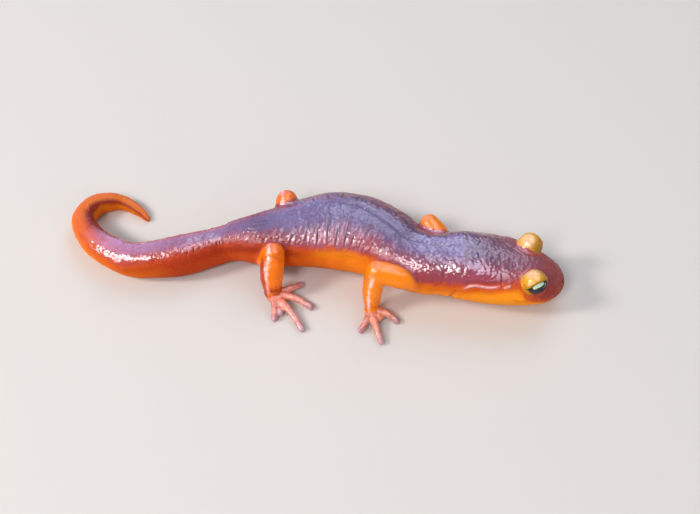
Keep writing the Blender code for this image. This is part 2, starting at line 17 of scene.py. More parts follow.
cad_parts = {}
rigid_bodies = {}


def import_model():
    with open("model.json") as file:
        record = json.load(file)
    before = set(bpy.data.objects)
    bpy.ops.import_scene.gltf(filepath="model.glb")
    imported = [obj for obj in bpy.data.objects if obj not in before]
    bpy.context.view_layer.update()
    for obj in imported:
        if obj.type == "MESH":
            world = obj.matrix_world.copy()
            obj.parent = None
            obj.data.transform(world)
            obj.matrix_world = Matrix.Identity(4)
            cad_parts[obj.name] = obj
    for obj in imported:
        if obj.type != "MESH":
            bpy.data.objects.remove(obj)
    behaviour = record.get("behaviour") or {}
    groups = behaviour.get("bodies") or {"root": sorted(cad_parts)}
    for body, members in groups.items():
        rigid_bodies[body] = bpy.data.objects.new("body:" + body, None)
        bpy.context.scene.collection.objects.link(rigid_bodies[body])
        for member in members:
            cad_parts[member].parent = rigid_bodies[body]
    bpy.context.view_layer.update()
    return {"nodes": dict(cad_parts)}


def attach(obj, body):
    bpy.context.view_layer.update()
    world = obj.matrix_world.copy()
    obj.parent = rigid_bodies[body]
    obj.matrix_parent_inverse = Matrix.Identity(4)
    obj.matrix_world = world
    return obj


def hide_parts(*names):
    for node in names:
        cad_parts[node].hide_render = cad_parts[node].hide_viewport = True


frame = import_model()
MM = 0.001
UP = np.array([0.0, 0.0, 1.0])

# %% [markdown]
# ## The midline
# Head, trunk and tail are one long tube, so a single smooth curve through named stations can
# carry all three. Each station gives the middle of a cross-section and its half width and half
# height, the same ones the solids were made from. The curve is a spline that passes through
# every station, which one with loose handles would not.

# %% Stations of the body, in millimetres
STATIONS = (
    # name, x, y, z, half width, half height
    ("snout", 43.5, -10.9, 4.4, 4.9, 2.7),
    ("muzzle", 39.0, -10.95, 4.9, 5.7, 3.3),
    ("brow", 36.1, -10.7, 5.3, 6.6, 3.9),
    ("jaw", 30.4, -10.05, 5.9, 7.2, 4.7),
    ("nape", 24.7, -9.4, 6.4, 6.8, 5.3),
    ("neck", 20.0, -8.95, 6.3, 6.0, 5.3),
    ("shoulder", 17.2, -8.5, 6.1, 6.1, 5.3),
    ("chest", 13.4, -6.7, 5.9, 6.4, 5.4),
    ("ribs", 9.7, -3.5, 5.8, 7.5, 5.7),
    ("belly_front", 4.9, -0.9, 5.75, 8.3, 5.9),
    ("belly", 0.0, 0.0, 5.75, 8.4, 5.9),
    ("belly_back", -4.0, -0.3, 5.7, 7.6, 5.7),
    ("loin", -8.5, -1.1, 5.6, 6.4, 5.3),
    ("hips", -14.3, -1.7, 5.3, 5.3, 4.7),
    ("vent", -18.7, -1.6, 4.6, 4.05, 4.0),
    ("tail_neck", -22.2, -2.0, 3.75, 3.4, 3.65),
    ("tail_swell", -29.9, -4.8, 3.85, 3.75, 4.0),
    ("tail_middle", -38.1, -5.65, 3.4, 3.2, 3.5),
    ("tail_turn", -42.9, -3.8, 3.15, 2.95, 3.2),
    ("tail_bend", -47.8, 0.0, 2.8, 2.7, 2.9),
    ("tail_side", -51.0, 5.5, 2.35, 2.35, 2.5),
    ("tail_hook", -49.6, 9.9, 2.1, 2.1, 2.25),
    ("tail_back", -46.7, 11.3, 1.85, 1.85, 2.0),
    ("tail_fore", -43.7, 11.3, 1.4, 1.45, 1.5),
    ("tail_end", -40.4, 9.4, 0.9, 1.0, 1.0),
    ("tail_tip", -38.2, 7.3, 0.4, 0.45, 0.45),
)
SAMPLES_PER_SPAN = 16
TANGENT_REACH = 0.6
SQUARENESS = 2.2
SNOUT_LENGTH = 4.6
SNOUT_ROUNDING = 1.7
TIP_ROUNDING = 0.9


def smooth_curve(rows, samples=SAMPLES_PER_SPAN):
    """Points of a smooth curve that passes through every row."""
    rows = np.array(rows, float)
    padded = np.vstack([2 * rows[0] - rows[1], rows, 2 * rows[-1] - rows[-2]])
    t = (np.arange(samples) / samples)[:, None]
    made = []
    for i in range(1, len(padded) - 2):
        p0, p1, p2, p3 = padded[i - 1 : i + 3]
        cubic = 3 * p1 - p0 - 3 * p2 + p3
        made.append(0.5 * (2 * p1 + (p2 - p0) * t + (2 * p0 - 5 * p1 + 4 * p2 - p3) * t**2 + cubic * t**3))
    return np.vstack([*made, rows[-1:]])


def lengths_of(points):
    """Distance along a line of points, from its first one."""
    steps = np.linalg.norm(np.diff(points[:, :3], axis=0), axis=1)
    return np.concatenate([[0.0], np.cumsum(steps)])


MIDLINE = smooth_curve([station[1:] for station in STATIONS])
MIDLINE_AT = lengths_of(MIDLINE)
BODY_LENGTH = float(MIDLINE_AT[-1])
print(f"midline: {BODY_LENGTH:.1f} mm from snout to tail tip")

# %% [markdown]
# ## Cross-sections
# Every later step asks the same question: where is the skin at this distance from the snout and
# this angle round the body? The angle is 0 on the back and grows to the animal's left. Sections
# are super-ellipses, a little squarer than ellipses, as a plump animal's are. NumPy answers for
# thousands of points at once, where a Python loop would take minutes.

# %% Where the skin is
def smooth_step(value, low, high):
    t = np.clip((np.asarray(value, float) - low) / (high - low), 0.0, 1.0)
    return t * t * (3 - 2 * t)


def unit(vectors):
    return vectors / np.maximum(np.linalg.norm(vectors, axis=-1, keepdims=True), 1e-12)


def midline_values(s):
    """x, y, z, half width and half height at distances s."""
    return np.stack([np.interp(s, MIDLINE_AT, column) for column in MIDLINE.T], axis=-1)


def midline_frame(s):
    """Middle of each section, with the directions to the left, up and towards the head."""
    s = np.asarray(s, float)
    ahead = midline_values(np.clip(s - TANGENT_REACH, 0, BODY_LENGTH))[..., :3]
    behind = midline_values(np.clip(s + TANGENT_REACH, 0, BODY_LENGTH))[..., :3]
    heading = unit(ahead - behind)
    left = unit(np.cross(np.broadcast_to(UP, heading.shape), heading))
    return midline_values(s)[..., :3], left, np.cross(heading, left), heading


def half_sizes(s):
    """Half width and half height, closed in a dome at the snout and at the tail's tip."""
    s = np.asarray(s, float)
    snout = np.clip(s / SNOUT_LENGTH, 0.0, 1.0)
    share = (1 - (1 - snout) ** SNOUT_ROUNDING) ** (1 / SNOUT_ROUNDING)
    tip = np.clip((BODY_LENGTH - s) / TIP_ROUNDING, 0.0, 1.0)
    share = share * np.sqrt(np.maximum(1 - (1 - tip) ** 2, 0.0))
    return midline_values(s)[..., 3:5] * share[..., None]


def skin_point(s, angle, grow=0.0):
    """Points on the plain skin at distances s and angles from the back."""
    s, angle = np.broadcast_arrays(np.asarray(s, float), np.asarray(angle, float))
    middle, left, up, _ = midline_frame(s)
    half = half_sizes(s) + grow
    power = 2 / SQUARENESS
    across = np.sign(np.sin(angle)) * np.abs(np.sin(angle)) ** power * half[..., 0]
    rise = np.sign(np.cos(angle)) * np.abs(np.cos(angle)) ** power * half[..., 1]
    return middle + left * across[..., None] + up * rise[..., None]


# %% [markdown]
# ## The body as a loft
# A loft joins ring after ring of skin points with four-sided faces. The rings are a quarter of
# a millimetre apart, fine enough for the glossy skin to show no facets.

# %% Build the body's tube
RING_PITCH = 0.25
RING_SIDES = 112
END_INSET = 0.01


def new_object(name, mesh):
    made = bpy.data.objects.new(name, mesh)
    bpy.context.scene.collection.objects.link(made)
    return made


def ring_mesh(name, points):
    """Closed mesh through rings of points, an array of rings by sides by 3, in millimetres."""
    rings, sides = points.shape[:2]
    index = np.arange(rings * sides).reshape(rings, sides)
    following = np.roll(index, -1, axis=1)
    walls = np.stack([index[:-1], following[:-1], following[1:], index[1:]], axis=-1).reshape(-1, 4)
    mesh = bpy.data.meshes.new(name)
    faces = [*walls.tolist(), index[0][::-1].tolist(), index[-1].tolist()]
    mesh.from_pydata((points.reshape(-1, 3) * MM).tolist(), [], faces)
    return mesh


def turned_outwards(mesh):
    """Recalculates the normals of a closed mesh and returns it."""
    shape = bmesh.new()
    shape.from_mesh(mesh)
    bmesh.ops.recalc_face_normals(shape, faces=shape.faces)
    shape.to_mesh(mesh)
    shape.free()
    return mesh


ring_lengths = np.linspace(END_INSET, BODY_LENGTH - END_INSET, round(BODY_LENGTH / RING_PITCH))
ring_angles = np.arange(RING_SIDES) * 2 * math.pi / RING_SIDES
body_mesh = turned_outwards(ring_mesh("body_tube", skin_point(ring_lengths[:, None], ring_angles[None, :])))
print("body tube:", len(body_mesh.polygons), "faces")

# %% [markdown]
# ## Axes of the legs and toes
# A leg is two tapered tubes that meet in a rounded elbow or knee, then a flat palm, then four
# toes in front and five behind. Each tube only needs its axis and its girth, so the legs are
# first written as lines of points. The toes fan out over the palm and bow a little to the
# side, as soft toes do, and their tips lie on the floor.

# %% Leg and toe sizes, in millimetres
LIMBS = {
    # x, y, z and radius at the shoulder or hip, the upper limb, the bend, the lower limb, the wrist
    "front_right": (
        (16.6, -12.0, 5.4, 2.4), (12.4, -13.1, 7.5, 2.25), (8.0, -12.5, 8.5, 2.1),
        (7.1, -13.9, 5.2, 1.95), (7.0, -15.7, 1.8, 1.5),
    ),
    "front_left": (
        (21.4, -5.6, 5.4, 2.4), (20.0, -2.8, 7.2, 2.2), (18.3, -0.8, 8.5, 2.0),
        (18.8, 0.6, 5.2, 1.9), (19.3, 0.9, 1.8, 1.5),
    ),
    "hind_right": (
        (-14.4, -4.6, 4.0, 1.9), (-13.4, -6.4, 5.1, 1.9), (-11.5, -8.0, 8.2, 2.2),
        (-11.9, -10.5, 5.2, 2.25), (-11.9, -11.8, 2.2, 1.75),
    ),
    "hind_left": (
        (-11.6, 1.0, 5.0, 2.5), (-9.9, 3.4, 6.9, 2.25), (-9.5, 5.1, 8.9, 2.15),
        (-9.7, 7.2, 5.6, 2.1), (-10.1, 7.8, 2.2, 1.75),
    ),
}
# Tips of the digits on the floor, the innermost first, with how far each bows to its left.
DIGITS = {
    "front_right": ((9.9, -16.4, 0.1), (12.1, -18.4, 0.35), (8.8, -23.5, -0.25), (4.6, -20.8, 0.1)),
    "front_left": ((22.4, -1.6, 0.2), (25.2, -0.3, -0.2), (24.8, 2.4, 0.2), (21.0, 3.0, 0.1)),
    "hind_right": (
        (-6.1, -9.2, -0.3), (-4.0, -15.1, 0.3), (-5.7, -20.4, 0.25), (-10.1, -16.9, -0.1),
        (-11.3, -18.2, 0.1),
    ),
    "hind_left": (
        (-5.8, 5.0, 0.2), (-3.2, 6.6, -0.2), (-2.8, 9.2, 0.2), (-5.2, 10.9, 0.2), (-8.8, 11.6, -0.2),
    ),
}
PALM_REACH = 1.2
PALM_LENGTH = 2.0
PALM_HALF_WIDTH = 1.85
PALM_HEIGHT = 1.05
# The roots of the digits lie across the palm by this share of the spread of their tips.
FAN_SHARE = 0.14
FAN_LIMIT = 1.0
DIGIT_TIP_RADIUS = 0.66
DIGIT_STOPS = (0.0, 0.3, 0.75, 0.92, 1.0)
DIGIT_RADII = (0.78, 0.78, 0.58, DIGIT_TIP_RADIUS, DIGIT_TIP_RADIUS)
DIGIT_ARCH = 0.45
DIGIT_POINTS = 25
SOLE_FLAT = 0.16
ROOT_DEPTH = 0.3
ANKLE_SHARE = 0.92
INSTEP_SHARE = 0.8
# How far down a limb a point lies: 0 at the shoulder, 1 at the elbow, 2 at the wrist.
ELBOW, WRIST, PALM, TIP = 1.0, 2.0, 2.4, 3.4


def palm_frame(limb):
    """Middle of a palm, with the directions its digits point in and across it."""
    wrist = np.array(LIMBS[limb][-1][:3])
    tips = np.array([(x, y, wrist[2]) for x, y, _ in DIGITS[limb]])
    outward = unit(tips.mean(axis=0) - wrist)
    palm = np.array([wrist[0], wrist[1], PALM_HEIGHT]) + outward * PALM_REACH
    return palm, outward, np.cross(outward, UP)


def digit_axis(palm, outward, digit):
    """Points and radii of one digit, from inside the palm to the middle of its round tip."""
    x, y, bow = digit
    tip = np.array([x, y, DIGIT_TIP_RADIUS - SOLE_FLAT])
    across = np.cross(outward, UP)
    spread = np.clip(FAN_SHARE * ((tip - palm) @ across), -FAN_LIMIT, FAN_LIMIT)
    root = palm - outward * ROOT_DEPTH + across * spread
    tip = tip - unit(tip - root) * DIGIT_TIP_RADIUS
    t = np.linspace(0.0, 1.0, DIGIT_POINTS)[:, None]
    side = unit(np.cross(UP, tip - root))
    swing = np.sin(math.pi * t)
    points = root + (tip - root) * t + UP * DIGIT_ARCH * swing + side * bow * swing
    return np.hstack([points, np.interp(t, DIGIT_STOPS, DIGIT_RADII)])


def limb_axes(limb):
    """Every tube of a limb: its points with radii, and how far down the limb it starts and ends."""
    rows = LIMBS[limb]
    palm, outward, _ = palm_frame(limb)
    wrist, radius = np.array(rows[-1][:3]), rows[-1][3]
    ankle = [
        (*wrist, radius),
        (*(np.array([wrist[0], wrist[1], PALM_HEIGHT]) + outward * ROOT_DEPTH), ANKLE_SHARE * radius),
        (*palm, INSTEP_SHARE * PALM_HEIGHT),
    ]
    found = [
        (smooth_curve(rows[:3]), 0.0, ELBOW),
        (smooth_curve(rows[2:]), ELBOW, WRIST),
        (smooth_curve(ankle), WRIST, PALM),
    ]
    return found + [(digit_axis(palm, outward, digit), PALM, TIP) for digit in DIGITS[limb]]


AXES = [(limb, *axis) for limb in LIMBS for axis in limb_axes(limb)]
print("tubes of legs and toes:", len(AXES))

# %% [markdown]
# ## Tubes that follow the axes
# Thirty tubes of the same kind are a job for Geometry Nodes. The axes go in as bare edges with
# a girth stored on each point. The tree turns them into curves, sweeps a circle along each one,
# and sets a ball at both ends, so that elbows, knees and toe tips come out round.

# %% The tube tree
TUBE_SIDES = 28
END_BALL_LEVEL = 4


def node(tree, kind, **values):
    """Adds a node and sets its properties."""
    made = tree.nodes.new(kind)
    for name, value in values.items():
        setattr(made, name, value)
    return made


def tube_tree():
    tree = bpy.data.node_groups.new("tapered_tubes", "GeometryNodeTree")
    for label, way, kind in (
        ("Axes", "INPUT", "Geometry"), ("Sides", "INPUT", "Int"), ("Ball level", "INPUT", "Int"),
        ("Skin", "INPUT", "Material"), ("Tubes", "OUTPUT", "Geometry"),
    ):
        tree.interface.new_socket(label, in_out=way, socket_type=f"NodeSocket{kind}")
    inlet = node(tree, "NodeGroupInput")
    outlet = node(tree, "NodeGroupOutput")
    girth = node(tree, "GeometryNodeInputNamedAttribute", data_type="FLOAT")
    girth.inputs["Name"].default_value = "girth"
    to_curve = node(tree, "GeometryNodeMeshToCurve")
    circle = node(tree, "GeometryNodeCurvePrimitiveCircle", mode="RADIUS")
    circle.inputs["Radius"].default_value = 1.0
    sweep = node(tree, "GeometryNodeCurveToMesh")
    sweep.inputs["Fill Caps"].default_value = True
    ends = node(tree, "GeometryNodeCurveEndpointSelection")
    balls = node(tree, "GeometryNodeInstanceOnPoints")
    ball = node(tree, "GeometryNodeMeshIcoSphere")
    ball.inputs["Radius"].default_value = 1.0
    join = node(tree, "GeometryNodeJoinGeometry")
    realize = node(tree, "GeometryNodeRealizeInstances")
    finish = node(tree, "GeometryNodeSetMaterial")
    for source, given, target, taken in (
        (inlet, "Axes", to_curve, "Mesh"),
        (inlet, "Sides", circle, "Resolution"),
        (inlet, "Ball level", ball, "Subdivisions"),
        (to_curve, "Curve", sweep, "Curve"),
        (circle, "Curve", sweep, "Profile Curve"),
        (girth, "Attribute", sweep, "Scale"),
        (to_curve, "Curve", balls, "Points"),
        (ends, "Selection", balls, "Selection"),
        (ball, "Mesh", balls, "Instance"),
        (girth, "Attribute", balls, "Scale"),
        (balls, "Instances", join, "Geometry"),
        (sweep, "Mesh", join, "Geometry"),
        (join, "Geometry", realize, "Geometry"),
        (realize, "Geometry", finish, "Geometry"),
        (inlet, "Skin", finish, "Material"),
        (finish, "Geometry", outlet, "Tubes"),
    ):
        tree.links.new(source.outputs[given], target.inputs[taken])
    return tree


def set_input(modifier, name, value):
    """Sets a Geometry Nodes input by its socket's identifier."""
    for socket in modifier.node_group.interface.items_tree:
        if socket.item_type == "SOCKET" and socket.in_out == "INPUT" and socket.name == name:
            modifier[socket.identifier] = value


def grown_mesh(obj, tree, name, **inputs):
    """The result of a Geometry Nodes tree on an object, as a plain mesh; the object is removed."""
    grower = obj.modifiers.new(tree.name, "NODES")
    grower.node_group = tree
    for socket, value in inputs.items():
        set_input(grower, socket.replace("_", " "), value)
    ready = obj.evaluated_get(bpy.context.evaluated_depsgraph_get())
    mesh = bpy.data.meshes.new_from_object(ready)
    mesh.name = name
    bpy.data.objects.remove(obj)
    return mesh


# %% Sweep legs and toes
def axes_object():
    """All axes as edges, with their girth in metres on each point."""
    points, edges, girths = [], [], []
    for _, axis, _, _ in AXES:
        start = len(points)
        points += (axis[:, :3] * MM).tolist()
        girths += (axis[:, 3] * MM).tolist()
        edges += [(i, i + 1) for i in range(start, start + len(axis) - 1)]
    mesh = bpy.data.meshes.new("limb_axes")
    mesh.from_pydata(points, edges, [])
    mesh.attributes.new("girth", "FLOAT", "POINT").data.foreach_set("value", girths)
    return new_object("limb_axes", mesh)


skin_material = bpy.data.materials.new("wet_skin")
tube_mesh = grown_mesh(
    axes_object(), tube_tree(), "limb_tubes",
    Sides=TUBE_SIDES, Ball_level=END_BALL_LEVEL, Skin=skin_material,
)
print("legs and toes:", len(tube_mesh.polygons), "faces")

# %% [markdown]
# ## Palms and eyelid domes
# A palm is a flattened ball under the roots of the digits, and each eyelid begins as a ball
# that stands half out of the head. The eye's own frame, the way it looks, the way its slit
# runs and the way over it, serves the dome here and the slit and the eyeball later.

# %% Balls for palms and lids
EYE_AT = 7.1
EYE_SKEW = 0.35
EYE_SIDEWAYS = 4.45
EYE_HEIGHT = 3.45
EYE_FORWARD_TURN = math.radians(20.0)
EYE_UPWARD_TURN = math.radians(33.0)
SLIT_TILT = math.radians(37.0)
LID_RADIUS = 2.32
BALL_LEVEL = 5
SIDES = {"left": 1, "right": -1}


def eye_frame(side):
    """Middle of an eye, with the directions it looks in, along its slit forwards, and over it."""
    middle, left, up, heading = midline_frame(EYE_AT + side * EYE_SKEW)
    centre = middle + left * side * EYE_SIDEWAYS + up * EYE_HEIGHT
    level = left * side * math.cos(EYE_FORWARD_TURN) + heading * math.sin(EYE_FORWARD_TURN)
    gaze = unit(level * math.cos(EYE_UPWARD_TURN) + up * math.sin(EYE_UPWARD_TURN))
    forwards = unit(heading - gaze * (heading @ gaze))
    over = unit(up - gaze * (up @ gaze) - forwards * (up @ forwards))
    tilted = forwards * math.cos(SLIT_TILT) + over * math.sin(SLIT_TILT)
    return centre, gaze, tilted, over * math.cos(SLIT_TILT) - forwards * math.sin(SLIT_TILT)


def add_ball(shape, centre, axes):
    """Adds a ball to a bmesh, stretched to three axes."""
    columns = Matrix(np.column_stack(axes).tolist()).to_4x4()
    matrix = Matrix.Translation(Vector(centre * MM)) @ Matrix.Scale(MM, 4) @ columns
    bmesh.ops.create_icosphere(shape, subdivisions=BALL_LEVEL, radius=1.0, matrix=matrix)


balls = bmesh.new()
for limb in LIMBS:
    palm, outward, across = palm_frame(limb)
    add_ball(balls, palm, (outward * PALM_LENGTH, across * PALM_HALF_WIDTH, UP * PALM_HEIGHT))
for side in SIDES.values():
    add_ball(balls, eye_frame(side)[0], tuple(np.eye(3) * LID_RADIUS))
bmesh.ops.recalc_face_normals(balls, faces=balls.faces)
print("palms and lids:", len(balls.faces), "faces")

# %% [markdown]
# ## One skin over everything
# The tubes and balls still pass through one another. A voxel remesh reads them as one volume
# and wraps a single closed skin round it, with no seam at a shoulder or a toe. A Boolean union
# would keep sharp creases there, and the remesh leaves even faces that can be smoothed.

# %% Wrap and smooth the skin
SKIN_CELL = 0.19
EVEN_OUT = 4
SMOOTH_FACTOR = 0.5


def apply_modifiers(obj):
    """Replaces an object's mesh by its evaluated one and removes its modifiers."""
    ready = obj.evaluated_get(bpy.context.evaluated_depsgraph_get())
    mesh = bpy.data.meshes.new_from_object(ready)
    obj.modifiers.clear()
    old = obj.data
    obj.data = mesh
    bpy.data.meshes.remove(old)


balls.from_mesh(body_mesh)
balls.from_mesh(tube_mesh)
raw_mesh = bpy.data.meshes.new("skin")
balls.to_mesh(raw_mesh)
balls.free()
skin = new_object("skin", raw_mesh)
wrap = skin.modifiers.new("wrap", "REMESH")
wrap.mode = "VOXEL"
wrap.voxel_size = SKIN_CELL * MM
even = skin.modifiers.new("even", "SMOOTH")
even.factor = SMOOTH_FACTOR
even.iterations = EVEN_OUT
apply_modifiers(skin)
print("skin:", len(skin.data.vertices), "points")

# %% [markdown]
# ## Which part of the animal is this point?
# The remesh forgets what each face was. These helpers find it again: for every point of the
# skin, the nearest place on the midline gives a distance from the snout and an angle from the
# back, and the nearest leg or toe axis gives how far down the limb it lies.

# %% Body and limb coordinates
NEAR_LIMB = 3.6
POINTS_AT_ONCE = 20000
COARSE_STEP = 4
REFINEMENTS = 3
LEAST_HALF = 0.3
LIMB_EDGE = (0.3, 1.5)


def positions(obj):
    flat = np.empty(len(obj.data.vertices) * 3)
    obj.data.vertices.foreach_get("co", flat)
    return flat.reshape(-1, 3) / MM


def move_to(obj, points):
    obj.data.vertices.foreach_set("co", (points * MM).ravel())
    obj.data.update()


def normals(obj):
    flat = np.empty(len(obj.data.vertices) * 3, np.float32)
    obj.data.vertex_normals.foreach_get("vector", flat)
    return flat.reshape(-1, 3).astype(float)


def nearest(points, line):
    """For each point, the nearest place on a line of points: its distance, and where it is."""
    best = np.empty(len(points))
    place = np.empty(len(points))
    starts, steps = line[:-1], np.diff(line, axis=0)
    squares = np.maximum((steps**2).sum(axis=1), 1e-12)
    for low in range(0, len(points), POINTS_AT_ONCE):
        span = slice(low, low + POINTS_AT_ONCE)
        part = points[span]
        offset = part[:, None] - starts[None]
        t = np.clip((offset * steps).sum(axis=-1) / squares, 0.0, 1.0)
        gaps = np.linalg.norm(offset - t[..., None] * steps, axis=-1)
        index = gaps.argmin(axis=1)
        rows = np.arange(len(part))
        best[span] = gaps[rows, index]
        place[span] = index + t[rows, index]
    return best, place


def body_coordinates(points):
    """Distance from the snout, angle from the back, and height over the plain skin."""
    coarse = MIDLINE[::COARSE_STEP]
    _, place = nearest(points, coarse[:, :3])
    s = np.interp(place, np.arange(len(coarse)), MIDLINE_AT[::COARSE_STEP])
    for _ in range(REFINEMENTS):
        middle, _, _, heading = midline_frame(s)
        s = np.clip(s - ((points - middle) * heading).sum(axis=1), 0.0, BODY_LENGTH)
    middle, left, up, _ = midline_frame(s)
    offset = points - middle
    half = np.maximum(half_sizes(s), LEAST_HALF)
    across = (offset * left).sum(axis=1) / half[:, 0]
    rise = (offset * up).sum(axis=1) / half[:, 1]
    power = SQUARENESS / 2
    angle = np.arctan2(np.sign(across) * np.abs(across) ** power, np.sign(rise) * np.abs(rise) ** power)
    size = (np.abs(across) ** SQUARENESS + np.abs(rise) ** SQUARENESS) ** (1 / SQUARENESS)
    return s, angle, (size - 1) * half.mean(axis=1)


def limb_coordinates(points):
    """How far down a limb each point lies, its height over that limb's skin, and which limb."""
    reach = np.zeros(len(points))
    height = np.full(len(points), NEAR_LIMB)
    which = np.full(len(points), -1)
    for limb, axis, start, end in AXES:
        low, high = axis[:, :3].min(axis=0) - NEAR_LIMB, axis[:, :3].max(axis=0) + NEAR_LIMB
        close = np.nonzero(np.all((points > low) & (points < high), axis=1))[0]
        gap, place = nearest(points[close], axis[:, :3])
        steps = np.arange(len(axis))
        over = gap - np.interp(place, steps, axis[:, 3])
        better = over < height[close]
        chosen = close[better]
        height[chosen] = over[better]
        reach[chosen] = start + (end - start) * place[better] / steps[-1]
        which[chosen] = list(LIMBS).index(limb)
    return reach, height, which


def share_of_limb(low, high):
    """1 on legs and feet, 0 on the body, changing between two heights over the body's skin."""
    over_body = smooth_step(body_height, low, high)
    return over_body * (limb_index >= 0) * (1 - smooth_step(limb_height, *LIMB_EDGE))


points = positions(skin)
along, around, body_height = body_coordinates(points)
limb_reach, limb_height, limb_index = limb_coordinates(points)
limb_share = share_of_limb(0.1, 1.0)
print("points on legs and feet:", int((limb_share > 0.5).sum()))

# %% [markdown]
# ## Soft joins
# Where a leg leaves the body the remesh leaves a hard notch. Real skin bridges it in a soft
# fold, so the points near such a join are evened out many times, and the rest not at all. The
# smoothing runs as a modifier that reads a vertex group, because a group can fade in and out.

# %% Even out the joins
SMOOTH_ROUNDS = 22
LEVELS = 4
# Height over the body's skin where a join is softest, and how far that fades, in millimetres.
LIMB_JOIN = (0.35, 0.75)
LID_JOIN = (0.1, 0.5)
JOIN_REACH = 1.1
JOIN_TO = 1.6


def even_out(obj, weights):
    """Evens out an object where the weights say so."""
    group = obj.vertex_groups.new(name="soft")
    for level in range(1, LEVELS + 1):
        chosen = np.nonzero(np.round(weights * LEVELS).astype(int) == level)[0]
        group.add(chosen.tolist(), level / LEVELS, "REPLACE")
    modifier = obj.modifiers.new("soft", "SMOOTH")
    modifier.factor = SMOOTH_FACTOR
    modifier.iterations = SMOOTH_ROUNDS
    modifier.vertex_group = group.name
    apply_modifiers(obj)
    obj.vertex_groups.clear()


def dome_distance(points):
    """Distance from the nearer eye's middle."""
    gaps = [np.linalg.norm(points - eye_frame(side)[0], axis=1) for side in SIDES.values()]
    return np.minimum(*gaps)


def bell(value, middle, width):
    """A soft bump, 1 at its middle."""
    return np.exp(-(((value - middle) / width) ** 2))


at_join = bell(body_height, *LIMB_JOIN) * (np.abs(limb_height) < JOIN_REACH) * (limb_reach < JOIN_TO)
even_out(skin, at_join)
points = positions(skin)
at_lid = bell(dome_distance(points) - LID_RADIUS, *LID_JOIN) * (np.abs(body_height) < JOIN_REACH)
even_out(skin, at_lid)
points = positions(skin)
normal = normals(skin)
relief, hollow, gleam = np.zeros((3, len(points)))
turned = np.degrees(np.abs(around))
print("points in soft joins:", int((at_join > 0.25).sum()))

# %% [markdown]
# ## Swellings of the head and neck
# The muscles that close the jaw bulge behind the eyes, glands and muscles make two soft lobes
# on the nape, and the face is a little hollow in front of the eye. Each is a soft mound at a
# place on the body, so one small table and one formula make them all.

# %% Raise the swellings
SWELLINGS = (
    # name, distance from snout, angle from back, reach along, reach round, height
    ("jaw_muscle", 11.0, 58.0, 2.0, 17.0, 0.28),
    ("cheek", 10.8, 84.0, 3.4, 14.0, 0.3),
    ("nape_lobe", 15.6, 30.0, 1.5, 20.0, 0.22),
    ("neck_lobe", 19.5, 36.0, 2.2, 22.0, 0.25),
    ("face_hollow", 3.4, 52.0, 1.5, 13.0, -0.2),
    ("nose_lip", 0.8, 92.0, 0.8, 24.0, 0.14),
    ("crown", 6.5, 0.0, 3.0, 22.0, 0.1),
    ("crown_hollow", 10.5, 16.0, 1.6, 9.0, -0.12),
    ("throat", 14.0, 150.0, 4.5, 30.0, 0.15),
    ("back_muscle", 40.0, 20.0, 16.0, 13.0, 0.14),
)
for name, at, turn, reach_along, reach_round, height in SWELLINGS:
    mound = bell(along, at, reach_along) * bell(turned, turn, reach_round)
    relief += height * mound * (1 - limb_share)
print("swellings:", len(SWELLINGS), "kinds")

# %% [markdown]
# ## Creases
# A crease is a thin valley with a soft rim on each side. Every one here follows a short line on
# the skin: the twelve costal grooves of each flank, the furrow of the back, the folds of the
# neck, the wrinkles of the tail's root and the line of the mouth. The lines are given where
# they lie on the body, so they wrap round it by themselves.

# %% Draw creases on the skin
CREASE_STEP = 0.12
RIM_AT = 2.0


def body_path(stops):
    """Skin points through stops of distance from the snout and angle from the back in degrees."""
    curve = smooth_curve([(s, math.radians(turn), 0.0) for s, turn in stops])
    path = skin_point(curve[:, 0], curve[:, 1])
    length = lengths_of(path)
    even = np.linspace(0.0, length[-1], max(4, round(length[-1] / CREASE_STEP)))
    return np.stack([np.interp(even, length, column) for column in path.T], axis=-1)


def crease(path, depth, half_width, rim=0.25, shade=0.8, fade=0.2, shine=0.0):
    """Sinks a path and raises its rims; shade paints it darker, shine wets it and paints a pale highlight.
    """
    margin = 3.5 * half_width + 0.3
    inside = np.all((points > path.min(axis=0) - margin) & (points < path.max(axis=0) + margin), axis=1)
    chosen = np.nonzero(inside)[0]
    if not len(chosen):
        return
    gap, place = nearest(points[chosen], path)
    share = place / (len(path) - 1)
    strength = smooth_step(share, 0.0, fade) * (1 - smooth_step(share, 1 - fade, 1.0))
    valley = bell(gap, 0.0, half_width)
    rims = bell(gap, RIM_AT * half_width, half_width)
    relief[chosen] += depth * strength * (rim * rims - valley)
    hollow[chosen] = np.maximum(hollow[chosen], shade * strength * valley)
    gleam[chosen] = np.maximum(gleam[chosen], shine * strength * valley)


def both_sides(stops):
    return [body_path([(s, sign * turn) for s, turn in stops]) for sign in (-1, 1)]


# %% [markdown]
# ## Grooves of the flank
# The grooves of a salamander's flank lie between its ribs, twelve on each side here. They are
# deepest in the middle of the trunk and lean away from it, and between them run finer
# wrinkles. Where the tail begins, the skin is gathered in short rings. A loop sets each groove
# with a little chance in its place and length, so that no two are alike.

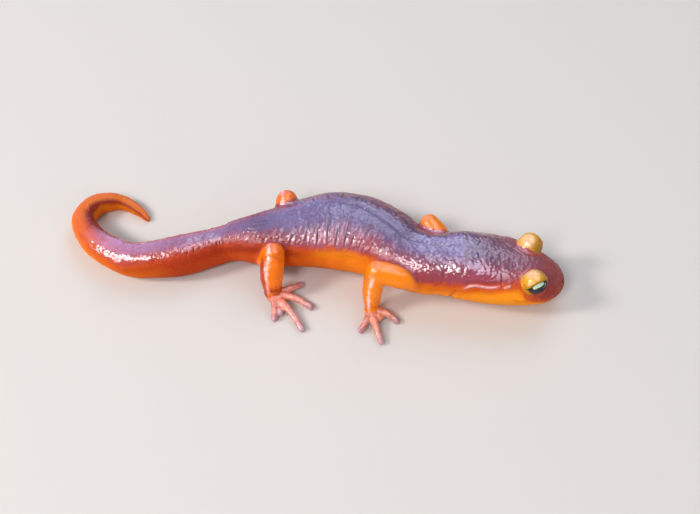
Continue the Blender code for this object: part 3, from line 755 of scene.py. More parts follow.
# %% Costal grooves and wrinkles
GROOVE_COUNT = 12
GROOVE_FIRST = 33.8
GROOVE_LAST = 58.0
GROOVE_DEPTH = 0.2
GROOVE_HALF_WIDTH = 0.22
GROOVE_LEAN = 0.17
GROOVE_UPRIGHT_AT = 42.0
DEEPEST_AT = 47.0
DEEP_REACH = 6.5
SHALLOWEST = 0.35
FAR_SHARE = 0.3
WRINKLE_DEPTH = 0.05
WRINKLE_HALF_WIDTH = 0.12
WRINKLES_PER_GROOVE = 2
WRINKLE_TURN = 22
ROOT_WRINKLES = 16
ROOT_FIRST = 60.5
ROOT_PITCH = 1.05
rng = np.random.default_rng(7)
groove_pitch = (GROOVE_LAST - GROOVE_FIRST) / (GROOVE_COUNT - 1)
for number in range(GROOVE_COUNT):
    at = GROOVE_FIRST + number * groove_pitch
    strength = SHALLOWEST + (1 - SHALLOWEST) * float(bell(at, DEEPEST_AT, DEEP_REACH))
    lean = GROOVE_LEAN * (at - GROOVE_UPRIGHT_AT)
    for sign, share in ((-1, 1.0), (1, FAR_SHARE)):
        start = 7 + rng.uniform(-4, 10)
        low = 60 + rng.uniform(-5, 6)
        sway = rng.uniform(-0.12, 0.12, 4)
        turns = np.linspace(start, low, 4)
        places = at + lean * (turns - start) / (low - start) + sway
        path = body_path([(s, sign * turn) for s, turn in zip(places, turns)])
        crease(path, GROOVE_DEPTH * strength * share, GROOVE_HALF_WIDTH, rim=0.5, shade=strength, fade=0.4)
        for _ in range(WRINKLES_PER_GROOVE):
            at_wrinkle = at + groove_pitch * rng.uniform(0.2, 0.8)
            top = rng.uniform(20, 50)
            stops = [(at_wrinkle + lean * t / 2, sign * (top + WRINKLE_TURN * t)) for t in (0, 0.5, 1)]
            crease(body_path(stops), WRINKLE_DEPTH * share, WRINKLE_HALF_WIDTH, rim=0.5, shade=0.2)
for number in range(ROOT_WRINKLES):
    at = ROOT_FIRST + number * ROOT_PITCH + rng.uniform(-0.3, 0.3)
    top = rng.uniform(12, 26)
    reach = rng.uniform(14, 32)
    depth = rng.uniform(0.06, 0.17)
    for path in both_sides([(at, top), (at + 0.25, top + reach / 2), (at + 0.4, top + reach)]):
        crease(path, depth, 0.15, rim=0.5, shade=3.5 * depth, fade=0.4)
print("grooves on each flank:", GROOVE_COUNT)

# %% [markdown]
# ## Furrow of the back, folds of the neck
# A shallow furrow runs over the spine from nape to hips. The neck and cheek are crossed by
# folds, and behind the eye runs a wet ridge that catches a thin line of light; that line is also
# painted on it as a pale highlight. All are creases too, a ridge being one with a depth below
# zero, so a table of lines is enough.

# %% Furrow and folds
BACK_LINE = (
    (14.5, 0), (18.2, 2), (22.8, 1), (27.4, 2), (31, -1), (35, 1), (39.2, 6), (43.6, 11),
    (48.7, 14), (56, 9),
)
HIP_WRINKLES = 9
HIP_WRINKLES_AT = 58.0
crease(body_path(BACK_LINE), 0.12, 0.2, rim=0.5, shade=0.55, fade=0.35)
# Fine lengthwise wrinkles over the hips, where the skin is bunched behind the legs.
for number in range(HIP_WRINKLES):
    at = HIP_WRINKLES_AT + rng.uniform(-1.5, 2.5)
    turn = -14 + 6 * number + rng.uniform(-2, 2)
    length = rng.uniform(3.5, 7.0)
    stops = [(at + length * t, turn + rng.uniform(-2, 2)) for t in (0, 0.33, 0.67, 1)]
    crease(body_path(stops), 0.07, 0.16, rim=0.9, shade=0.25, fade=0.4)
NECK_FOLDS = (
    # name, stops of distance and angle, depth, half width, shade, shine
    ("eye_fold", ((12.8, 47), (14.6, 56), (16.2, 58), (18.4, 63), (19.6, 72)), 0.1, 0.25, 0.3, 0),
    ("eye_ridge", ((12.6, 56), (13.6, 60), (14.9, 64), (16.0, 65), (17.5, 67), (18.6, 73), (19.8, 83)),
     -0.2, 0.21, 0, 1),
    ("front_ridge", ((10.9, 52), (11.6, 56), (12.3, 60)), -0.14, 0.2, 0, 0.8),
    ("cheek_fold", ((13.0, 30), (12.7, 40), (12.7, 52), (12.4, 62)), 0.11, 0.18, 0.4, 0),
    ("nape_fold", ((17.6, 2), (17.1, 14), (16.6, 23), (16.0, 29), (15.5, 37)), 0.11, 0.2, 0.35, 0),
    ("neck_fold", ((18.9, 8), (19.2, 18), (19.6, 36), (19.4, 50)), 0.08, 0.3, 0.2, 0),
    ("side_fold", ((22.4, 30), (21.6, 36), (21.2, 46)), 0.1, 0.24, 0.3, 0),
    ("shoulder_fold", ((22.6, 44), (23.0, 62), (23.6, 80)), 0.1, 0.3, 0.25, 0),
    ("throat_fold", ((20.6, 84), (21.4, 110), (21.8, 140), (21.9, 178)), 0.3, 0.34, 0.4, 0),
    ("crown_fold", ((9.4, 10), (11.6, 20), (12.9, 30)), 0.06, 0.26, 0.15, 0),
)
for name, stops, depth, half_width, shade, shine in NECK_FOLDS:
    for path in both_sides(stops):
        crease(path, depth, half_width, shade=shade, shine=shine)
print("deepest crease:", round(float(-relief.min()), 2), "mm")

# %% [markdown]
# ## Mouth and nostrils
# The mouth is a long thin line from under the snout to below the eye, with a lip that stands a
# little proud above it. It follows a height over the middle of the head, so the height is
# turned into an angle first. From each small nostril a hair-fine groove runs down to the lip.

# %% Line of the mouth
MOUTH_FRONT = -0.7
MOUTH_MIDDLE = -0.2
MOUTH_CORNER = 0.5
MOUTH_START = 0.35
MOUTH_LENGTH = 10.4
MOUTH_DEPTH = 0.28
MOUTH_HALF_WIDTH = 0.17
LIP_HEIGHT = 0.12
# Middle and width of the upper and the lower lip, in degrees over the mouth's line.
UPPER_LIP = (7, 6)
LOWER_LIP = (-7, 7)
LOWER_LIP_SHARE = 0.8
LIP_END = 2.5
HIGHEST_SHARE = 0.92
NOSTRIL_AT = 0.95
NOSTRIL_SIDEWAYS = 1.75
NOSTRIL_HEIGHT = 1.15
NOSTRIL_RADIUS = 0.3
NOSTRIL_DEPTH = 0.22
NOSTRIL_RIM = 0.05
NOSTRIL_RIM_BAND = (0.55, 0.25)
NOSTRIL_SHADE = 0.7


def mouth_height(s):
    """Height of the mouth's line over the middle of the head."""
    t = np.clip(s / MOUTH_LENGTH, 0.0, 1.0)
    sag = 2 * MOUTH_MIDDLE - (MOUTH_FRONT + MOUTH_CORNER) / 2
    return MOUTH_FRONT * (1 - t) ** 2 + 2 * sag * t * (1 - t) + MOUTH_CORNER * t**2


def angle_at_height(s, height):
    share = np.clip(height / np.maximum(half_sizes(s)[..., 1], 0.05), -HIGHEST_SHARE, HIGHEST_SHARE)
    return np.arccos(np.sign(share) * np.abs(share) ** (SQUARENESS / 2))


mouth_s = np.linspace(MOUTH_START, MOUTH_LENGTH, 90)
mouth_turn = angle_at_height(mouth_s, mouth_height(mouth_s))
left_lip = skin_point(mouth_s, mouth_turn)
right_lip = skin_point(mouth_s, -mouth_turn)
mouth_path = np.vstack([left_lip[::-1], right_lip])
crease(mouth_path, MOUTH_DEPTH, MOUTH_HALF_WIDTH, rim=0.1, shade=1.0, fade=0.05)
over_mouth = np.degrees(angle_at_height(along, mouth_height(along))) - turned
at_mouth = (1 - smooth_step(along, MOUTH_LENGTH - LIP_END, MOUTH_LENGTH)) * (body_height < 0.8)
lip = bell(over_mouth, *UPPER_LIP) - LOWER_LIP_SHARE * bell(over_mouth, *LOWER_LIP)
relief += LIP_HEIGHT * lip * at_mouth
middle, left, up, _ = midline_frame(NOSTRIL_AT)
for side in SIDES.values():
    pit = middle + left * side * NOSTRIL_SIDEWAYS + up * NOSTRIL_HEIGHT
    gap = np.linalg.norm(points - pit, axis=1)
    gap -= gap.min()
    sink = bell(gap, 0.0, NOSTRIL_RADIUS)
    relief -= NOSTRIL_DEPTH * sink - NOSTRIL_RIM * bell(gap, *NOSTRIL_RIM_BAND)
    hollow = np.maximum(hollow, NOSTRIL_SHADE * sink)
for path in both_sides([(0.9, 66), (0.8, 78), (0.75, 92)]):
    crease(path, 0.07, 0.1, shade=0.3)
print("mouth line:", round(float(lengths_of(mouth_path)[-1]), 1), "mm long")

# %% [markdown]
# ## Folds of the legs
# Elbows, knees, wrists and ankles carry short creases, and the toes have faint rings at their
# joints. These follow how far down the limb a point lies, not a line in space.

# %% Ring folds
LIMB_FOLDS = (
    # name, how far down the limb, depth, half width
    ("elbow_inside", 1.04, 0.1, 0.05),
    ("wrist", 1.97, 0.22, 0.045),
    ("wrist_upper", 1.82, 0.06, 0.04),
    ("toe_root", 2.72, 0.04, 0.03),
    ("toe_middle", 2.98, 0.05, 0.03),
    ("toe_last", 3.2, 0.04, 0.025),
)
FOLD_SHADE = 2.2
on_limb = (limb_index >= 0) * smooth_step(body_height, 0.3, 1.2)
for name, at, depth, half_width in LIMB_FOLDS:
    ring = bell(limb_reach, at, half_width) * on_limb * (limb_height < 0.8)
    relief -= depth * ring
    hollow = np.maximum(hollow, FOLD_SHADE * depth * ring)
print("ring folds on each limb:", len(LIMB_FOLDS))

# %% [markdown]
# ## Pebbled skin
# Close up, the back of such a salamander is a field of low round glands, and the belly is
# smoother. The larger pebbles are real relief here, because they break the outline of every
# highlight; the finer ones are left to the material. Blender's own noise gives them, and it
# needs no seed: the same place always gets the same pebble.

# %% Raise the pebbles
PEBBLE_PITCH = 0.6
PEBBLE_HEIGHT = 0.072
PEBBLE_REACH = 0.6
BELLY_PEBBLE_LOSS = 0.6
LIMB_PEBBLE_LOSS = 0.5
HEAD_RIPPLE_SHARE = 0.35
RIPPLES = (
    # size across and height, in millimetres
    (3.2, 0.09),
    (1.25, 0.052),
)


def pebbles(spots):
    """Low round mounds, about 0 to 1 high, at places in millimetres."""
    near = [noise.voronoi(spot, distance_metric="DISTANCE")[0] for spot in (spots / PEBBLE_PITCH).tolist()]
    return np.array([1 - min(1.0, (gaps[0] / PEBBLE_REACH) ** 2) for gaps in near])


def ripples(spots, pitch):
    """Soft unevenness, about -1 to 1."""
    return np.array([noise.noise(spot) for spot in (spots / pitch).tolist()])


on_back = 1 - BELLY_PEBBLE_LOSS * smooth_step(turned, 60.0, 95.0)
plain = (1 - LIMB_PEBBLE_LOSS * limb_share) * smooth_step(dome_distance(points) - LID_RADIUS, 0.1, 0.7)
small_body = smooth_step(half_sizes(along)[:, 0], 0.6, 2.0)
relief += PEBBLE_HEIGHT * (pebbles(points) - 0.5) * on_back * plain * small_body
off_head = HEAD_RIPPLE_SHARE + (1 - HEAD_RIPPLE_SHARE) * smooth_step(along, 11.0, 20.0)
for pitch, height in RIPPLES:
    relief += height * ripples(points, pitch) * plain * small_body * off_head
print("pebbles about", PEBBLE_PITCH, "mm apart")

# %% [markdown]
# ## Opening the eyelids
# The lids are the skin itself: a dome whose slit shows the eye. Inside the slit's outline the
# skin drops to a shell that the eyeball will hide, and at the outline it rounds over, as a lid
# rim does. The faces near both eyes are cut finer first.

# %% Cut the faces near the eyes finer
SLIT_LENGTH = 3.75
SLIT_SHIFT = -0.22
SLIT_TOP = 0.64
SLIT_DROP = 1.4
SLIT_DROP_POWER = 0.6
FINE_BAND = 0.35


def slit_distance(points, side):
    """Distance from the slit's outline, below 0 inside, if a point faces out, and how far out it is."""
    centre, gaze, forwards, over = eye_frame(side)
    offset = points - centre
    size = np.maximum(np.linalg.norm(offset, axis=1), 1e-6)
    x = offset @ forwards * LID_RADIUS / size - SLIT_SHIFT
    y = offset @ over * LID_RADIUS / size
    half = SLIT_LENGTH / 2
    inside = np.clip(x / half, -1.0, 1.0)
    arch = np.cos(inside * math.pi / 2)
    slope = -np.sin(inside * math.pi / 2) * math.pi / 2 / half
    above = (y - SLIT_TOP * arch) / np.sqrt(1 + (SLIT_TOP * slope) ** 2)
    below = (-SLIT_DROP * arch**SLIT_DROP_POWER - y) / np.sqrt(1 + (SLIT_DROP * slope) ** 2)
    beyond = np.hypot(np.maximum(np.abs(x) - half, 0.0), y)
    distance = np.where(np.abs(x) < half, np.maximum(above, below), beyond)
    return distance, (offset @ gaze) > 0.25 * size, size


def store(obj, name, values):
    """Keeps a number for every point of an object, under a name that a material can read."""
    attribute = obj.data.attributes.get(name) or obj.data.attributes.new(name, "FLOAT", "POINT")
    attribute.data.foreach_set("value", np.asarray(values, np.float32))


move_to(skin, points + normal * relief[:, None])
store(skin, "hollow", hollow)
store(skin, "gleam", gleam)
shape = bmesh.new()
shape.from_mesh(skin.data)
centres = [Vector(eye_frame(side)[0] * MM) for side in SIDES.values()]
fine_reach = (LID_RADIUS + FINE_BAND) * MM
fine = [
    edge for edge in shape.edges
    if min((edge.verts[0].co - centre).length for centre in centres) < fine_reach
]
bmesh.ops.subdivide_edges(shape, edges=fine, cuts=1, use_grid_fill=True, smooth=0.0)
shape.to_mesh(skin.data)
shape.free()
points = positions(skin)
print("skin after finer lids:", len(points), "points")

# %% Open the slits
SHELL_RADIUS = 1.65
LID_EDGE = 0.26
LID_ROLL = 0.07
LID_ROLL_AT = 0.42
LID_ROLL_WIDTH = 0.22
# Painted shade fills the slit's wall and reaches this far out over the lid's edge.
RIM_WIDTH = 0.3
EDGE_SHARE = 0.9
WALL = 0.1
# Only points this near to the slit and to the lid's ball are moved.
SLIT_REACH = 0.9
BALL_REACH = 0.8
lid_rim = np.zeros(len(points))
for side in SIDES.values():
    centre = eye_frame(side)[0]
    distance, outward, size = slit_distance(points, side)
    close = outward & (size < LID_RADIUS + BALL_REACH)
    chosen = np.nonzero(close & (distance < SLIT_REACH))[0]
    gap = distance[chosen]
    lid = size[chosen] + LID_ROLL * bell(gap, LID_ROLL_AT, LID_ROLL_WIDTH)
    edge = np.clip(gap / LID_EDGE, 0.0, 1.0)
    lid -= LID_EDGE * (1 - np.sqrt(1 - (1 - edge) ** 2)) * EDGE_SHARE
    wall = smooth_step(gap, -WALL, 0.0)
    target = SHELL_RADIUS + (lid - SHELL_RADIUS) * wall
    points[chosen] = centre + unit(points[chosen] - centre) * target[:, None]
    lid_rim[chosen] = np.maximum(lid_rim[chosen], 1 - smooth_step(gap, 0.0, RIM_WIDTH))
move_to(skin, points)
store(skin, "lid_rim", lid_rim)
print("points on the lids' rims:", int((lid_rim > 0.5).sum()))

# %% [markdown]
# ## Down to size
# The skin is thinned by collapsing edges where it is flat, which keeps the creases, lids and
# toes fine. A limit on its triangles keeps the piece light.

# %% Thin the skin
SKIN_TRIANGLES = 190000


def triangle_count(mesh):
    return sum(len(polygon.vertices) - 2 for polygon in mesh.polygons)


triangles = triangle_count(skin.data)
if triangles > SKIN_TRIANGLES:
    thin = skin.modifiers.new("thin", "DECIMATE")
    thin.ratio = SKIN_TRIANGLES / triangles
    apply_modifiers(skin)
skin.data.polygons.foreach_set("use_smooth", [True] * len(skin.data.polygons))
print("skin triangles:", triangles, "->", triangle_count(skin.data))

# %% [markdown]
# ## The eyes
# Each eye is a ball a little smaller than its lids. It is black, with a pale green patch in
# the upper iris. The patch is drawn by the material, so the ball keeps, for every point, how
# far it lies along the slit and over it.

# %% Eyeballs
EYEBALL_RADIUS = 1.95
CORNEA_BULGE = 0.08
CORNEA_REACH = 1.4
EYE_LEVEL = 6


def make_eyeball(word, side):
    centre, gaze, forwards, over = eye_frame(side)
    shape = bmesh.new()
    bmesh.ops.create_icosphere(shape, subdivisions=EYE_LEVEL, radius=1.0)
    mesh = bpy.data.meshes.new(f"eye_{word}")
    shape.to_mesh(mesh)
    shape.free()
    eye = new_object(f"eye_{word}", mesh)
    direction = unit(positions(eye))
    from_gaze = np.linalg.norm(direction - gaze, axis=1) * EYEBALL_RADIUS
    radius = EYEBALL_RADIUS + CORNEA_BULGE * bell(from_gaze, 0.0, CORNEA_REACH)
    offset = direction * radius[:, None]
    move_to(eye, centre + offset)
    store(eye, "slit_along", offset @ forwards)
    store(eye, "slit_over", np.where(offset @ gaze > 0, offset @ over, -EYEBALL_RADIUS))
    mesh.polygons.foreach_set("use_smooth", [True] * len(mesh.polygons))
    return eye


eyes = {word: make_eyeball(word, side) for word, side in SIDES.items()}
print("eyes:", ", ".join(eye.name for eye in eyes.values()))

# %% [markdown]
# ## What the colours follow
# The markings follow the body, not the room: a line along each flank parts the purple back from
# the orange belly, high on the trunk and low on the snout, the neck and the tail's bend. A
# painted picture could hold them, but it would need an unwrap and its seams. Here each point
# keeps its place along the body and how far it lies below the line, and the material reads that.

# %% The line between purple and orange
ORANGE_LINE = (
    # distance from snout, angle from back where the orange begins
    (0.0, 120.0), (3.0, 100.0), (5.0, 86.0), (6.1, 80.0), (6.8, 76.0), (7.6, 71.0), (8.2, 62.0),
    (8.8, 51.0), (9.6, 46.0), (10.6, 49.0), (12.0, 54.0), (14.0, 60.0), (16.5, 65.0), (18.0, 72.0),
    (20.0, 78.0), (22.0, 82.0), (25.0, 84.0), (28.0, 74.0), (33.5, 64.0),
    (40.0, 61.0), (46.0, 62.0), (51.0, 66.0), (55.0, 66.0), (60.0, 55.0), (66.0, 50.0),
    (70.0, 41.0), (74.0, 42.0), (78.0, 47.0), (82.0, 55.0), (87.0, 72.0), (92.0, 86.0),
    (98.0, 88.0), (104.0, 56.0), (121.0, 34.0),
)
# In the hook of the tail the stripe of the back turns towards the inside of the bend.
STRIPE_TURN = ((88.0, 0.0), (97.0, 40.0), (121.0, 46.0))
# The animal rests a little rolled, so the line of its left flank lies lower.
LEFT_LINE_SHIFT = 30.0
LEAST_GIRTH = 0.4


def along_body(stops):
    """Values between stops of distance from the snout and value."""
    return np.interp(along, *np.array(stops).T)


points = positions(skin)
along, around, body_height = body_coordinates(points)
limb_reach, limb_height, limb_index = limb_coordinates(points)
limb_share = share_of_limb(0.2, 1.1)
turned = np.degrees(np.abs(around - np.radians(along_body(STRIPE_TURN))))
turned = np.minimum(turned, 360 - turned)
line = along_body(ORANGE_LINE)
line += LEFT_LINE_SHIFT * (around > 0) * (1 - smooth_step(along, 50.0, 60.0))
girth = half_sizes(along).mean(axis=1)
store(skin, "along", along)
store(skin, "turn", turned / line)
store(skin, "below", np.radians(turned - line) * np.maximum(girth, LEAST_GIRTH))
print("points above the orange line:", int((turned < line).sum()))

# %% [markdown]
# ## Where the skin is wet
# A film of mucus keeps the back wet, and it thins out down the flank. It is thickest on the
# neck and before the bend of the tail. One number for each point says how wet the skin is.

# %% How wet the body is
GLOSS = (
    # distance from snout, wetness of the back
    (0.0, 0.2), (6.0, 0.35), (12.0, 0.85), (17.0, 1.15), (27.0, 1.15), (31.0, 0.5), (38.0, 0.7),
    (45.0, 0.85), (52.0, 0.95), (56.0, 0.9), (61.0, 0.5), (66.0, 0.7), (70.0, 1.1), (74.0, 1.1),
    (78.0, 0.85), (84.0, 1.3), (92.0, 1.4), (98.0, 0.06), (121.0, 0.05),
)
# The film begins to thin at these shares of the way from the back to the orange line.
THINS_FROM = 0.52
TAIL_THINS_LATER = 0.1
THINS_OVER = 0.45
HOOK_GLOSS = 0.14
HOOK_BELLY_FROM = 130
thins = THINS_FROM + TAIL_THINS_LATER * smooth_step(along, 78.0, 86.0)
gloss = along_body(GLOSS) * (1 - smooth_step(turned / line, thins, thins + THINS_OVER))
on_hook = smooth_step(along, 92.0, 98.0) * (turned > line) * (turned < HOOK_BELLY_FROM)
gloss = np.maximum(gloss, HOOK_GLOSS * on_hook)
store(skin, "gloss", gloss * (1 - limb_share))
print("wettest point:", round(float(gloss.max()), 2))

# %% [markdown]
# ## Which points are leg or lid
# Legs keep how far down the limb a point lies and which way it faces, because the side that
# faces the tail is redder and carries a painted highlight, a pale streak. Lids keep a top, where
# a sheen is painted cream, and a front, where shade is painted olive, as it is over the slit.
# The tools made for the relief give all of these again for the thinned skin.

# %% Numbers for the legs
FIRST_HIND = list(LIMBS).index("hind_right")
THIGH_FADE = 0.14


def tailward(points):
    """How far a point of a leg lies on the side of its axis that faces the tail, from -1 to 1."""
    found = np.zeros(len(points))
    best = np.full(len(points), NEAR_LIMB)
    for _, axis, _, end in AXES:
        if end > WRIST:
            continue
        gap, place = nearest(points, axis[:, :3])
        steps = np.arange(len(axis))
        girth = np.interp(place, steps, axis[:, 3])
        better = gap - girth < best
        best = np.where(better, gap - girth, best)
        found = np.where(better, (np.interp(place, steps, axis[:, 0]) - points[:, 0]) / girth, found)
    return found


is_hind = limb_index >= FIRST_HIND
store(skin, "limb", limb_share * np.where(is_hind, smooth_step(limb_reach, 0.0, THIGH_FADE), 1.0))
store(skin, "hind", is_hind)
store(skin, "tailward", tailward(points))
store(skin, "reach", np.where(limb_index >= 0, limb_reach, 0.0))
print("points on hind legs:", int((is_hind & (limb_share > 0.5)).sum()))

# %% Numbers for the eyelids
# The lid's top is tilted inwards and back by these shares of its height.
TOP_TILT = 0.5
TOP_BACK = 0.2
# Painted shade over the slit, as a share of the painted shade in front.
FRONT_EDGE_SHARE = 0.6
# Millimetres from the eye's middle between which each zone begins and is full.
OVER_FADE = (-0.6, 0.1)
BEHIND_FADE = (-2.1, -1.5)
TOP_FADE = (1.4, 2.8)
FRONT_FADE = (0.6, 2.3)
SLIT_FADE = (SLIT_TOP, SLIT_TOP + 0.9)
# Height over the lid's ball where the lid's colour ends, and the red ring round it.
LID_END_FADE = (-0.05, 0.5)
LID_RING = (0.35, 0.3)
INNER_REACH = 1.2
OUTER_REACH = 1.0
dome = dome_distance(points) - LID_RADIUS
upper_lid, lid_sheen_top, lid_front_shade = np.zeros((3, len(points)))
for side in SIDES.values():
    centre, gaze, forwards, over = eye_frame(side)
    offset = points - centre
    near = (offset @ gaze > -INNER_REACH) & (np.linalg.norm(offset, axis=1) < LID_RADIUS + OUTER_REACH)
    behind = 1 - smooth_step(offset @ forwards, *BEHIND_FADE)
    upper_lid = np.maximum(upper_lid, near * np.maximum(smooth_step(offset @ over, *OVER_FADE), behind))
    # The lid's top, where a sheen is painted cream.
    top = UP + TOP_TILT * unit(UP * (gaze @ UP) - gaze) - TOP_BACK * forwards
    lid_sheen_top = np.maximum(lid_sheen_top, near * smooth_step(offset @ top, *TOP_FADE))
    # The front of the lid and the strip just over the slit, where shade is painted olive.
    lid_front_shade = np.maximum(lid_front_shade, near * smooth_step(offset @ forwards, *FRONT_FADE))
    at_slit = (offset @ gaze > 0) * (1 - smooth_step(offset @ over, *SLIT_FADE))
    lid_front_shade = np.maximum(lid_front_shade, near * at_slit * FRONT_EDGE_SHARE)
store(skin, "lid", upper_lid * (1 - smooth_step(dome, *LID_END_FADE)))
store(skin, "lid_sheen_top", lid_sheen_top)
store(skin, "lid_front_shade", lid_front_shade)
store(skin, "lid_ring", bell(dome, *LID_RING) * (turned < line))
print("points on the lids:", int((upper_lid > 0.5).sum()))

# %% [markdown]
# ## Small tools for materials
# Node trees are easier to read when each step is one short call. These helpers add a node, give
# it numbers or links, and hand back its output.

# %% Node helpers
def feed(tree, socket, value):
    """Links a socket, or sets it to a number or colour."""
    if isinstance(value, bpy.types.NodeSocket):
        tree.links.new(value, socket)
    else:
        socket.default_value = value


def calculate(tree, operation, *values):
    made = node(tree, "ShaderNodeMath", operation=operation)
    for socket, value in zip(made.inputs, values):
        feed(tree, socket, value)
    return made.outputs[0]


def times(tree, first, second):
    return calculate(tree, "MULTIPLY", first, second)


def minus(tree, first, second):
    return calculate(tree, "SUBTRACT", first, second)


def larger(tree, first, second):
    return calculate(tree, "MAXIMUM", first, second)


def scaled(tree, value, factor, start):
    """The value times a factor, added to a start."""
    return calculate(tree, "MULTIPLY_ADD", value, factor, start)


def within(tree, value, middle, reach):
    """Over 0 where a value lies inside a band round a middle."""
    return minus(tree, reach, calculate(tree, "ABSOLUTE", minus(tree, value, middle)))


def fade(tree, value, low, high):
    """0 below low and 1 over high, with a soft step between."""
    made = node(tree, "ShaderNodeMapRange", interpolation_type="SMOOTHSTEP")
    for name, number in (("Value", value), ("From Min", low), ("From Max", high)):
        feed(tree, made.inputs[name], number)
    return made.outputs["Result"]


def blend_colours(tree, share, first, second, kind="MIX"):
    made = node(tree, "ShaderNodeMix", data_type="RGBA", blend_type=kind)
    feed(tree, made.inputs[0], share)
    feed(tree, made.inputs[6], first)
    feed(tree, made.inputs[7], second)
    return made.outputs[2]


def stored(tree, name):
    return node(tree, "ShaderNodeAttribute", attribute_name=name).outputs["Fac"]


def place_in_mm(tree):
    """Object coordinates in millimetres."""
    place = node(tree, "ShaderNodeTexCoord").outputs["Object"]
    enlarged = node(tree, "ShaderNodeVectorMath", operation="SCALE")
    enlarged.inputs["Scale"].default_value = 1 / MM
    tree.links.new(place, enlarged.inputs[0])
    return enlarged.outputs[0]


def cloud(tree, place, frequency, detail):
    """Soft noise, with about this many features to a millimetre."""
    made = node(tree, "ShaderNodeTexNoise")
    feed(tree, made.inputs["Vector"], place)
    feed(tree, made.inputs["Scale"], frequency)
    made.inputs["Detail"].default_value = detail
    return made.outputs["Fac"]


def paint(red, green, blue):
    """A colour from 0 to 255 as a screen shows it, made linear."""
    shares = [channel / 255 for channel in (red, green, blue)]
    return (*[c / 12.92 if c <= 0.04045 else ((c + 0.055) / 1.055) ** 2.4 for c in shares], 1.0)


def shader_group(name, inputs, outputs):
    """An empty shader node group with named inputs and outputs, and its two end nodes."""
    tree = bpy.data.node_groups.new(name, "ShaderNodeTree")
    for label, value in inputs.items():
        socket = tree.interface.new_socket(label, in_out="INPUT", socket_type="NodeSocketFloat")
        socket.default_value = value
    for label in outputs:
        tree.interface.new_socket(label, in_out="OUTPUT", socket_type="NodeSocketFloat")
    return tree, node(tree, "NodeGroupInput"), node(tree, "NodeGroupOutput")


def use_group(tree, group, *values):
    """Places a shader group and feeds its inputs in their order."""
    made = node(tree, "ShaderNodeGroup", node_tree=group)
    for socket, value in zip(made.inputs, values):
        feed(tree, socket, value)
    return made.outputs[0]


def set_surface(shader, values):
    """Sets a shader's own sockets to constants."""
    for name, value in values.items():
        shader.inputs[name].default_value = value


# %% [markdown]
# ## Effects that several finishes share
# Three groups do most of the work. Uneven edge turns a distance into a mask whose border
# wanders, as markings on skin do. Flecks scatters small dots. Wet grain is the height of fine
# pores and soft wrinkles, which breaks a highlight into the glints that wet skin shows.

# %% Shared shader groups
WRINKLE_FREQUENCY = 1.3


def build_uneven_edge():
    tree, inlet, outlet = shader_group(
        "uneven_edge", {"Distance": 0.0, "Softness": 0.5, "Wander": 0.5, "Frequency": 1.0}, ["Mask"]
    )
    wander = minus(tree, cloud(tree, place_in_mm(tree), inlet.outputs["Frequency"], detail=4.0), 0.5)
    shift = scaled(tree, wander, inlet.outputs["Wander"], inlet.outputs["Distance"])
    share = calculate(tree, "DIVIDE", shift, inlet.outputs["Softness"])
    tree.links.new(fade(tree, share, -1.0, 1.0), outlet.inputs["Mask"])
    return tree


def build_flecks():
    tree, inlet, outlet = shader_group(
        "flecks", {"Frequency": 2.0, "Size": 0.2, "Share": 0.3}, ["Mask"]
    )
    cells = node(tree, "ShaderNodeTexVoronoi")
    feed(tree, cells.inputs["Vector"], place_in_mm(tree))
    feed(tree, cells.inputs["Scale"], inlet.outputs["Frequency"])
    dot = minus(tree, 1.0, fade(tree, cells.outputs["Distance"], 0.0, inlet.outputs["Size"]))
    lot = node(tree, "ShaderNodeSeparateColor")
    tree.links.new(cells.outputs["Color"], lot.inputs[0])
    chosen = calculate(tree, "LESS_THAN", lot.outputs[0], inlet.outputs["Share"])
    tree.links.new(times(tree, dot, chosen), outlet.inputs["Mask"])
    return tree


def build_wet_grain():
    tree, inlet, outlet = shader_group(
        "wet_grain", {"Pore depth": 0.02, "Wrinkle depth": 0.03, "Frequency": 2.5}, ["Height"]
    )
    place = place_in_mm(tree)
    pores = node(tree, "ShaderNodeTexVoronoi", feature="SMOOTH_F1")
    feed(tree, pores.inputs["Vector"], place)
    feed(tree, pores.inputs["Scale"], inlet.outputs["Frequency"])
    coarse = times(tree, cloud(tree, place, WRINKLE_FREQUENCY, detail=4.0), inlet.outputs["Wrinkle depth"])
    fine = times(tree, pores.outputs["Distance"], inlet.outputs["Pore depth"])
    tree.links.new(minus(tree, coarse, fine), outlet.inputs["Height"])
    return tree


UNEVEN_EDGE = build_uneven_edge()
FLECKS = build_flecks()
WET_GRAIN = build_wet_grain()
print("shader groups:", UNEVEN_EDGE.name, FLECKS.name, WET_GRAIN.name)

# %% [markdown]
# ## Purple, red and orange
# The back is plum, turns mauve and wine red down the flank, and meets the orange belly at the
# uneven line, with a rusty seam. All of these change from the reddish snout to the orange tip
# of the tail, so each zone has its own ramp along the body. A ramp is easier to adjust than a
# picture: each row below is a distance from the snout and the colour there.

# %% Colours of back, flank and belly
BACK_STOPS = (
    (0, 148, 58, 40), (4, 142, 66, 68), (9, 130, 74, 98), (18, 94, 64, 100), (36, 84, 66, 96),
    (60, 92, 68, 98), (74, 130, 76, 96), (84, 148, 78, 94), (92, 168, 76, 78), (99, 140, 42, 18),
    (121, 144, 40, 6),
)
FLANK_STOPS = (
    (0, 146, 50, 28), (9, 148, 60, 60), (18, 150, 64, 84), (25, 146, 56, 68), (36, 150, 62, 72),
    (42, 160, 88, 108), (51, 156, 82, 100), (57, 140, 52, 58), (72, 160, 54, 38), (90, 186, 62, 36),
    (100, 212, 98, 16), (108, 214, 112, 0), (121, 202, 100, 0),
)
